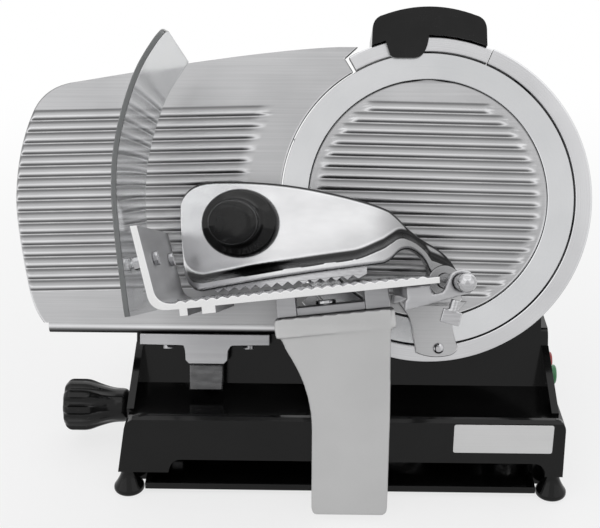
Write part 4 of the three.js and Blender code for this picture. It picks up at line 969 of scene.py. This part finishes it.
# Painted highlight: faces looking out along the blade's axis, the tray's front edge, are painted
# light grey.
painted_highlight_tone = (0.72, 0.72, 0.72, 1)
front_face_highlight = tray_metal.between(towards(tray_metal, out), 0.7, 0.95)
sideways = towards(tray_metal, right)
tray_metal.feed({
    "Base Color": tray_metal.mixed(front_face_highlight, floor_tone, painted_highlight_tone),
    "Roughness": 0.12 + 0.14 * tray_clouds + 0.1 * tray_streaks + 0.3 * sideways * sideways,
})
tray = block(tray_line, tray_back, tray_front, tray_edge, tray_place)
piece("polished_tray", tray, "carriage", tray_metal, "food_tray")


# Hand shield: a curved sheet of clear acrylic beside the tray's wall, on two screws with spacers.
# Its sawn edges look grey, and cleaning has left fine streaks on its faces.
def overlaid(finish, amount, shading):
    """Lays a second shader over a finish."""
    bare = Socket(finish, finish.shader.outputs[0])
    both = finish.node("ShaderNodeMixShader", {}, {0: amount, 1: bare, 2: shading})
    finish.join(finish.nodes["Material Output"].inputs["Surface"], both)


clear_sheet = Finish("clear_acrylic", "clear", {
    "Transmission Weight": 1.0, "IOR": 1.3, "Alpha": 1.0})
wiping = clear_sheet.noise(clear_sheet.stretched((30, 60, 4)), 1, 4)
clear_sheet.feed({
    "Base Color": clear_sheet.tint(wiping, (0.85, 0.86, 0.87), (0.93, 0.94, 0.94)),
    "Roughness": 0.02 + 0.07 * wiping,
})
sawn = clear_sheet.node("ShaderNodeBsdfPrincipled", {}, {
    "Base Color": (0.24, 0.25, 0.25, 1), "Roughness": 0.35})
endwise = towards(clear_sheet, out)
overlaid(clear_sheet, clear_sheet.between(endwise * endwise, 0.1, 0.4, high=0.7), sawn)
shield_spots = [Vector(p) for p in (
    (-0.2045, 0.1104), (-0.2236, 0.0778), (-0.236, 0.036), (-0.2395, 0), (-0.2366, -0.040),
    (-0.229, -0.097))]
shield_thick = 0.004
shield_shift = -0.0032
shield_back = 0.044
shield_front = 0.194
shield_corner = 0.014
shield_edge = 0.0009


def smooth_chain(spots, steps):
    """A smooth curve through the spots, as (point, direction) pairs."""
    ends = [spots[0] * 2 - spots[1], *spots, spots[-1] * 2 - spots[-2]]
    chain = []
    for a, b, c, d in zip(ends, ends[1:], ends[2:], ends[3:]):
        for i in range(steps):
            t = i / steps
            pull = a * 2 - b * 5 + c * 4 - d
            twist = b * 3 - a - c * 3 + d
            point = (b * 2 + (c - a) * t + pull * t ** 2 + twist * t ** 3) / 2
            way = (c - a) / 2 + pull * t + twist * 1.5 * t ** 2
            chain.append((point, way.normalized()))
    chain.append((spots[-1], (spots[-1] - spots[-2]).normalized()))
    return chain


shield_loops = []
passed = 0
shield_chain = smooth_chain(shield_spots, 24)
shield_length = sum((b[0] - a[0]).length for a, b in zip(shield_chain, shield_chain[1:]))
for (before, _), (spot, way) in zip(shield_chain[:1] + shield_chain, shield_chain):
    passed += (spot - before).length
    left_over = max(0, shield_corner - passed, shield_corner / 2 - shield_length + passed)
    front = shield_front - shield_corner + math.sqrt(shield_corner ** 2 - left_over ** 2)
    aside = Vector((way.y, -way.x))
    section = rectangle(
        shield_shift, shield_shift + shield_thick, shield_back, front, shield_edge)
    shield_loops.append([(*(spot + aside * offset), w) for offset, w in section])
piece("clear_shield", lofted(shield_loops, head), "carriage", clear_sheet, "hand_shield")
for i in (1, 2):
    spacer = softened(f"shield_screw_{i}", 0.0006)
    piece(f"spacer_screw_{i}", spacer, "carriage", bright_steel, f"shield_screw_{i}")


# Pusher rod: a bright steel rod with a ball end, along the tray's right edge.
# It is clamped in a cast bracket, and a wing screw under the front lug holds it.
rod_place = Matrix.Translation(joints["pusher_lift"]["pos_m"]) @ turn_to_head
rod_radius = 0.006
rod_start = 0.0085
rod_end = 0.215
ball_radius = 0.0068
ball_middle = rod_end + 0.008
rod_line = [
    (0, rod_start), (rod_radius, rod_start), (rod_radius, rod_end),
    (ball_radius * 0.6, rod_end + 0.002)]
for angle in turns(-50, 90, 12)[:-1]:
    across, along = on_circle(ball_radius, angle)
    rod_line.append((across, ball_middle + along))
rod_line.append((0, ball_middle + ball_radius))
piece("ball_rod", turned(rod_line, rod_place, 48), "carriage", bright_steel, "pusher_rod")
rod_holder = cast("rod_bracket", 0.0011, 6)
piece("cast_rod_bracket", rod_holder, "carriage", cast_metal, "rod_bracket", smooth=180)
wing = cast("wing_screw", 0.0006, 6)
piece("clamp_wing", wing, "carriage", bright_steel, "wing_screw", smooth=180)


# Pusher: a polished casting with an arched arm from its hub, a broad plate and a flange.
# A toothed steel strip behind it grips the food, and a bronze bush runs on the rod.
pusher_yaw = math.radians(9.5)
pusher_thick = 0.006
plate_level = 0.050
arch_face = 0.058
arch_back = 0.022
flange_rise = 0.013
flange_band = 0.0065
flange_sweep = 0.009
flange_start = -0.220
flange_run = 0.02
arch_start = -0.075
arch_run = 0.055
arch_share = 0.45
rear_start = -0.046
rear_run = 0.024
rim_round = 0.003
pusher_upper = [
    *bend((-0.224, 0.058), (-0.223, 0.081), (-0.194, 0.082)),
    *bend((-0.194, 0.082), (-0.150, 0.083), (-0.112, 0.076))[1:],
    *bend((-0.112, 0.076), (-0.066, 0.067), (-0.046, 0.058))[1:],
    *bend((-0.046, 0.058), (-0.040, 0.054), (-0.030, 0.043))[1:],
    *bend((-0.030, 0.043), (-0.020, 0.034), (-0.008, 0.028))[1:],
    *bend((-0.008, 0.028), (0.008, 0.018), (0.0118, 0.004))[1:],
]
pusher_lower = [
    Vector((-0.224, 0.0575)), *bend((-0.221, 0.012), (-0.2195, -0.010), (-0.203, -0.011)),
    *bend((-0.203, -0.011), (-0.140, 0.002), (-0.050, 0.0135))[1:],
    *bend((-0.050, 0.0135), (-0.044, 0.016), (-0.040, 0.021))[1:],
    *bend((-0.040, 0.021), (-0.034, 0.0275), (-0.026, 0.0245))[1:],
    *bend((-0.026, 0.0245), (-0.015, 0.019), (-0.0115, 0.006))[1:], Vector((0.0118, 0.003)),
]
pusher_rows = [
    -0.2208, -0.2206, -0.2202, -0.2195, *np.arange(-0.2185, 0.0114, 0.0016).tolist(), 0.0115]


def eased(value):
    """Runs smoothly from 0 to 1."""
    t = min(1, max(0, value))
    return t * t * (3 - 2 * t)


def pusher_span(u):
    """The lower and the upper end of an upright row across the pusher."""
    x = u / math.cos(pusher_yaw)
    low = np.interp(x, [p.x for p in pusher_lower], [p.y for p in pusher_lower])
    high = np.interp(x, [p.x for p in pusher_upper], [p.y for p in pusher_upper])
    return low, max(high, low + 0.0004)


def plate_height(u):
    """The level of the plate, which is turned a little about the upright."""
    return plate_level + u * math.tan(pusher_yaw)


def pusher_face(v, u):
    """The front: the flange, the hollow above it, the arched arm and the rounded rim."""
    low, high = pusher_span(u)
    arched = eased((u - arch_start) / arch_run)
    band = flange_band + arched * (arch_share * (high - low) - flange_band)
    hollow = min(1, max(0, (v - low - band) / flange_sweep))
    highest = min(arch_face - plate_height(u), flange_rise)
    rise = highest * eased((u - flange_start) / flange_run) * (1 - hollow) ** 2
    rim = max(0, 1 - min(v - low, high - v, u - pusher_rows[0] + 0.0004) / rim_round)
    return plate_height(u) + rise - rim_round * rolled(rim)


def pusher_rear(v, u):
    """The rear, which drops back under the arched arm."""
    behind = plate_height(u) - pusher_thick
    return behind + eased((u - rear_start) / rear_run) * (arch_back - behind)


pusher_metal = Finish("polished_pusher", "polished_aluminium", {"Metallic": 1.0})
buffed = pusher_metal.noise(pusher_metal.stretched((14, 40, 40)), 1, 3)
hand_clouds = pusher_metal.noise(pusher_metal.place(), 22, 3)
pusher_mix = 0.6 * buffed + 0.4 * hand_clouds
bright_tone = pusher_metal.tint(pusher_mix, (0.52, 0.52, 0.53), (0.86, 0.86, 0.87))
# Painted reflection: the arched arm is painted darker towards the hub, standing in for the dark
# reflection it shows.
arm_dark_tone = (0.34, 0.34, 0.345, 1)
along = pusher_metal.node("ShaderNodeSeparateXYZ", {}, {0: pusher_metal.place()}, "X")
hub_x = rod_place.translation.x
arm_painted_dark = pusher_metal.between(along, hub_x - 0.064, hub_x - 0.03, ease="SMOOTHSTEP")
pusher_tone = pusher_metal.mixed(arm_painted_dark, bright_tone, arm_dark_tone)
# Painted shade and highlight: faces tilted up, the hollow above the flange and the top rim, are
# painted dark, and faces looking straight out bright.
pusher_painted_shading = [
    (0.1, 0.25), (0.35, 0.6), (0.46, 0.86), (0.56, 0.86),
    (0.65, 0.4), (0.75, 0.05), (0.97, 0.04), (1.0, 0.3)]
pusher_metal.feed({
    "Base Color": shaded(pusher_metal, pusher_painted_shading, pusher_tone),
    "Roughness": 0.14 + 0.1 * buffed + 0.08 * hand_clouds,
})
turn_over = Matrix(((0, 1, 0), (1, 0, 0), (0, 0, 1))).to_4x4()
pusher_skin = ribbed(
    pusher_rows, pusher_span, pusher_face, pusher_rear, easing(64), rod_place @ turn_over)
hub_radius = 0.013
hub_bore = 0.0087
hub_mouth = 0.0064
hub_back = 0.014
hub_face = 0.0588
hub_step = 0.0581
hub_line = rounded([
    (0.011, hub_back), (hub_radius, hub_back), (hub_radius, hub_face), (hub_mouth, hub_face),
    (hub_mouth, hub_step), (hub_bore, hub_step), (hub_bore, hub_back), (0.011, hub_back),
], 0.0012)
pusher_skin = together(pusher_skin, turned(hub_line, rod_place, 64))
piece("cast_pusher", pusher_skin, "pusher", pusher_metal, "food_pusher", smooth=60)
piece("toothed_strip", softened("grip_plate", 0.0003), "pusher", bright_steel, "grip_plate")
dress(bush_bronze, "pusher_bush")


# Pusher handle: a waisted oval knob moulded in black, with a wide skirt and a flat crown.
# Its stud goes through the plate to a nut behind.
plate_spot = rod_place @ Matrix.Translation((0, 0, plate_level))
plate_place = plate_spot @ Matrix.Rotation(-pusher_yaw, 4, "Y")
handle_spot = plate_place @ Matrix.Translation((-0.171, 0.0465, 0))
handle_oval = Matrix.Scale(0.88, 4, (0, 1, 0))
handle_line = rounded([
    (0, 0.0003), (0.0325, 0.0003), (0.0333, 0.003), (0.0317, 0.0075), (0.0235, 0.0135),
    (0.0195, 0.020), (0.0211, 0.027), (0.0203, 0.0315), (0.0151, 0.0342), (0, 0.0346),
], 0.0045, 8)
nut_back = -0.0103
nut_face = -0.0063
stud_end = 0.004
stud_line = rounded([
    (0, nut_back), (0.0062, nut_back), (0.0065, nut_face), (0.003, nut_face), (0.003, stud_end),
    (0, stud_end),
], 0.0006)
handle = turned(handle_line, handle_spot @ handle_oval, 96)
handle = together(handle, turned(stud_line, handle_spot, 32))
piece("oval_handle", handle, "pusher", moulded_black, "handle_knob")


# Slice deflector: a bent sheet behind the blade that throws the slices clear of the tower.
# It is polished aluminium, screwed to the tower's left side.
polished = aluminium(
    "polished_sheet", "polished_aluminium", (0.32, 0.32, 0.33), (0.52, 0.52, 0.53), 0.12, 420)
piece("bent_deflector", softened("slice_deflector", 0.0005), "base", polished, "slice_deflector")


# Switches: a black plate on the right side with a green start and a red stop button.
# Both are moulded, domed a little, and sprung.
piece("switch_panel", softened("switch_plate", 0.0012), "base", moulded_black, "switch_plate")


def button_plastic(name, slot, dark, light):
    """Coloured plastic with a faint mottle."""
    finish = Finish(name, slot, {"Coat Weight": 0.3, "Coat Roughness": 0.1})
    mottle = finish.noise(finish.place(), 300, 3)
    finish.feed({
        "Base Color": finish.tint(mottle, dark, light),
        "Roughness": 0.28 + 0.14 * mottle,
        "Normal": finish.bump(mottle, 0.06, 0.0002),
    })
    return finish


start_green = button_plastic("start_green", "green", (0.015, 0.18, 0.05), (0.03, 0.26, 0.08))
stop_red = button_plastic("stop_red", "red", (0.34, 0.012, 0.012), (0.48, 0.02, 0.02))
for name, finish in (("start", start_green), ("stop", stop_red)):
    low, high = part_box(f"{name}_button")
    size = (high.y - low.y) / 2
    depth = high.x - low.x
    cap_line = rounded([
        (0, 0), (size, 0), (size, depth - 0.0012), (size - 0.0018, depth - 0.0002), (0, depth),
    ], 0.001)
    spot = Matrix.Translation((low.x, (low.y + high.y) / 2, (low.z + high.z) / 2))
    to_right = spot @ Matrix.Rotation(math.pi / 2, 4, "Y")
    piece(f"domed_{name}", turned(cap_line, to_right, 48), name, finish, f"{name}_button")


# Cable inlet: a short moulded gland on the rear of the base.
# Its bore is open, ready for a lead.
low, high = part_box("cable_inlet")
inlet_radius = (high.x - low.x) / 2
inlet_depth = high.y - low.y
inlet_bore = 0.004
inlet_line = rounded([
    (inlet_bore, 0), (inlet_radius, 0), (inlet_radius, 0.0038), (0.0082, 0.005),
    (0.007, inlet_depth), (inlet_bore, inlet_depth), (inlet_bore, 0),
], 0.0008)
inlet_spot = Matrix.Translation(((low.x + high.x) / 2, low.y, (low.z + high.z) / 2))
gland = turned(inlet_line, inlet_spot @ Matrix.Rotation(-math.pi / 2, 4, "X"), 40)
piece("inlet_gland", gland, "base", moulded_black, "cable_inlet")


# Studio: a pale floor, soft lamps on both sides, above and behind, and a white surround.
# The camera looks square at the blade from a step away.
def seen_plainly(web):
    """1 for what is seen straight, mirrored or through a clear sheet, 0 for the light it gives."""
    straight, mirrored, through = [
        web.node("ShaderNodeLightPath", {}, {}, f"Is {ray} Ray")
        for ray in ("Camera", "Glossy", "Transmission")]
    return straight.work_out("MAXIMUM", straight.work_out("MAXIMUM", straight, mirrored), through)


half = 20.0
corners = [(-half, -half, 0), (half, -half, 0), (half, half, 0), (-half, half, 0)]
floor_mesh = bpy.data.meshes.new("pale_floor")
floor_mesh.from_pydata(corners, [], [(0, 1, 2, 3)])
floor = bpy.data.objects.new("pale_floor", floor_mesh)
bpy.context.collection.objects.link(floor)
floor_paint = Finish("floor_paint", "floor", {
    "Base Color": (0.86, 0.86, 0.86, 1), "Roughness": 0.7, "Specular IOR Level": 0.1})
white_paper = floor_paint.node("ShaderNodeEmission", {}, {})
from_middle = floor_paint.vector("LENGTH", floor_paint.place())
paper = floor_paint.between(from_middle, 0.3, 1.2, low=0.75, ease="SMOOTHSTEP")
overlaid(floor_paint, paper * seen_plainly(floor_paint), white_paper)
floor_mesh.materials.append(floor_paint.material)

scene = bpy.context.scene
scene.view_settings.view_transform = "Standard"
world = bpy.data.worlds.new("white_studio")
scene.world = world
world.use_nodes = True
sky = Web(world.node_tree)
sky.nodes.remove(sky.nodes["Background"])
surround = sky.node("ShaderNodeBackground", {}, {"Color": (0.62, 0.62, 0.63, 1), "Strength": 0.55})
white = sky.node("ShaderNodeBackground", {}, {"Color": (1, 1, 1, 1), "Strength": 1})
all_round = sky.node("ShaderNodeMixShader", {}, {0: seen_plainly(sky), 1: surround, 2: white})
sky.join(sky.nodes["World Output"].inputs["Surface"], all_round)

middle = (cad_box[0] + cad_box[1]) / 2
for name, spot, power, size in (
        ("lamp_left", (-1.5, -1.2, 1.3), 9, 2.5), ("lamp_right", (1.6, -1.0, 1.3), 6.5, 2.5),
        ("lamp_above", (0.0, -0.1, 1.8), 13, 2.8), ("lamp_behind", (0.5, 1.7, 1.3), 9, 2.4)):
    light = bpy.data.lights.new(name, "AREA")
    light.energy = power
    light.size = size
    lamp = bpy.data.objects.new(name, light)
    lamp.location = spot
    lamp.rotation_euler = (middle - Vector(spot)).to_track_quat("-Z", "Y").to_euler()
    bpy.context.collection.objects.link(lamp)

lens = bpy.data.cameras.new("camera")
lens.sensor_fit = "HORIZONTAL"
lens.sensor_width = 36
lens.lens = 76.84
camera = bpy.data.objects.new("camera", lens)
camera.location = head @ Vector((-0.0876, -0.0631, 1.1))
aim = head @ Vector((-0.1091, -0.0571, 0))
camera.rotation_euler = (aim - camera.location).to_track_quat("-Z", "Y").to_euler()
bpy.context.collection.objects.link(camera)
scene.camera = camera
